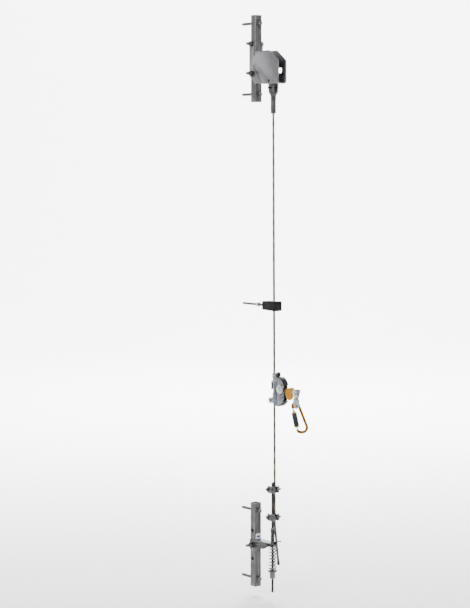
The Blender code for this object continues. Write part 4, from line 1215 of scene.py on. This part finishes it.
def swivel():
    x, y = LINK_BOLT
    outline = rounded([(x - 10.5, y + 10.5, 10.4), (x + 10.5, y + 10.5, 10.4),
                       (x + 10.5, y - 22, 3), (x - 10.5, y - 22, 3)], 14)
    body = flat("swivel_fork_fine", RADIAL, on_sleeve(0, 0, 0), 16, outline, [circle(x, y, 5.4)])
    cut(body, block("slot", on_sleeve(-2.9, x - 15, y - 11), on_sleeve(2.9, x + 15, y + 15)),
        rod("stem_seat", on_sleeve(0, x, y - 14.6), UP, 5, 7.2, 40),
        rod("stem_bore", on_sleeve(0, x, y - 26), UP, 14, 4.4, 40))
    dress(body, "swivel_fork", "polished", "swivel_fork", 0.9)
    profile = [(0.001, 0), (8.9, 0), (9.5, 0.6), (9.5, 2), (9.1, 2.4), (9.1, 3.2), (9.5, 3.6),
               (9.5, 5.4), (9.1, 6), (7.5, 8.7), (4, 8.7), (4, 17), (6.4, 17), (6.4, 19.6),
               (6, 20), (0.001, 20)]
    eye = turned("swivel_eye_fine", on_sleeve(0, x, -34), UP, profile, 64)
    centre = on_sleeve(0, x, CAPTIVE_PIN_Z)
    bridge = rounded([(-12, 20, 1), (12, 20, 1), (12, 25, 3), (-12, 25, 3)])
    leg = rounded([(-11, -11, 10.9), (11, -11, 10.9), (11.6, 22), (-11.6, 22)], 14)
    legs = [flat("leg", FACING, centre + FACING[2] * sign * 10.8 * MM, 4, leg,
                 [circle(0, 0, 2.9)]) for sign in (-1, 1)]
    join(eye, flat("bridge", FACING, centre, 26, bridge), *legs)
    dress(eye, "swivel_eye", "polished", "swivel_eye", 0.6)
    profile = [(0.001, 0.4), (1.6, 0.4), (2, 0), (4.4, 0), (5, 0.6), (5, 1.9), (2.5, 1.9),
               (2.5, 6.4), (2.9, 6.4), (3.2, 6.8), (3.2, 23.2), (2.9, 23.6), (2.5, 23.6),
               (2.5, 29.6), (2, 30), (0.001, 30)]
    dress(turned("captive_pin_fine", centre - FACING[2] * 15 * MM, FACING[2], profile, 40),
          "swivel_eye", "black_steel", "captive_pin")


def carabiner_point(u, v):
    """A place in the carabiner's plane, from its captive pin."""
    centre = on_sleeve(0, LINK_BOLT[0], CAPTIVE_PIN_Z)
    return centre + (FACING[0] * u + FACING[1] * v) * MM


def gate_line(v):
    """The u of the gate's straight side, at a height v."""
    return -16.2 + 0.207 * (10.5 - v)


def even_path(points, step):
    """Points along a path at an even spacing in metres."""
    spots, left = [points[0]], step
    for first, second in zip(points, points[1:]):
        length = (second - first).length
        while length >= left:
            first = first.lerp(second, left / length)
            length -= left
            left = step
            spots.append(first)
        left -= length
    return spots


def carabiner():
    """A forged D: round bar, its nose socket and hinge end, the gate and its locking barrel."""
    loop = rounded([(-16.2, 10.5, 11.5), (5.86, 10.5, 11.5), (50.1, -103, 18), (7.3, -103, 12)],
                   24)
    bar = [Vector((gate_line(GATE_TOP), GATE_TOP))] + loop
    bar += [Vector((gate_line(GATE_END), GATE_END))]
    path = even_path([carabiner_point(*p) for p in bar], 0.0011)
    last = len(path) - 1
    radii = []
    for i in range(len(path)):
        from_end = min(i, last - i) * 1.1
        radii.append(5.48 - 1.2 * max(0, 1 - from_end / 2) ** 2)
    dress(sweep("carabiner_body_fine", path, radii, 32), "carabiner", "bronze_anodised",
          "carabiner_body", angle=50)
    top = carabiner_point(gate_line(GATE_TOP - 1.5), GATE_TOP - 1.5)
    end = carabiner_point(gate_line(GATE_END + 1.5), GATE_END + 1.5)
    along = (end - top).normalized()
    length = (end - top).length / MM
    profile = [(0.001, 0), (2.2, 0), (2.6, 0.4), (3.6, 2), (4.2, 4), (4.4, 5), (4.4, 9.6),
               (4.1, 10), (4.1, 11.4), (4.4, 11.8), (4.4, 15)]
    profile += [(4.4, up) for up in thread_heights(15.5, 18.5, 1)]
    profile += [(4.4, 19.2), (4.4, length - 5), (4.1, length - 3), (3.2, length - 1),
                (2.6, length - 0.4), (0.001, length)]
    dress(turned("carabiner_gate_fine", top, along, profile, 40,
                 shape=screw_shape(15, 19, 1, 0.4)), "carabiner_gate", "gold_anodised",
          "carabiner_gate", angle=50)

    def flutes(radius, height, angle):
        if not 4 < height < 54:
            return radius
        fade = min(1, (height - 4) / 3, (54 - height) / 3)
        return radius - 0.7 * fade * (0.5 + 0.5 * math.cos(angle * 14)) ** 2
    profile = [(4.8, 0.5), (5.3, 0), (8.4, 0), (9.1, 0.4), (9.9, 1.2), (10.2, 2)]
    profile += [(10.2, 4 + 50 * i / 25) for i in range(26)]
    profile += [(10.2, 56.2), (9.8, 57.2), (8.8, 58), (5.3, 58), (4.8, 57.5)]
    dress(turned("gate_barrel_fine", top + along * 13 * MM, along, profile, 112, loop=True,
                 shape=flutes), "gate_barrel", "black_steel", "gate_barrel")
    cuff = [(10, 0), (10.2, 0), (10.28, 0.2), (10.28, 1.4), (10.2, 1.6), (10, 1.6)]
    for place, up in (("top", 2.2), ("end", 54.2)):
        ring_item = turned(f"barrel_ring_{place}", top + along * (13 + up) * MM, along, cuff, 72,
                           loop=True)
        dress(ring_item, "gate_barrel", "gold_anodised")
    for place, v in (("nose", -16.5), ("hinge", -85.5)):
        for side in (-1, 1):
            foot = carabiner_point(gate_line(v), v) + FACING[2] * side * 4.1 * MM
            rivet(f"gate_{place}_rivet_{'front' if side > 0 else 'back'}", foot, 1.7,
                  FACING[2] * side, "carabiner_gate")


stage()
lights_and_camera()
mount_tube("top", 0, (CROSS_BOLT_Z, -CROSS_BOLT_Z))
mount_tube("bottom", BOTTOM_Z, (CROSS_BOLT_Z, 0, -CROSS_BOLT_Z))
top_arm()
fork()
wire_rope()
cable_guide()
bottom_arm()
tensioner()
side_plates()
shoes_and_covers()
rollers()
cable_gate()
cam_and_arm()
gold_link()
swivel()
carabiner()
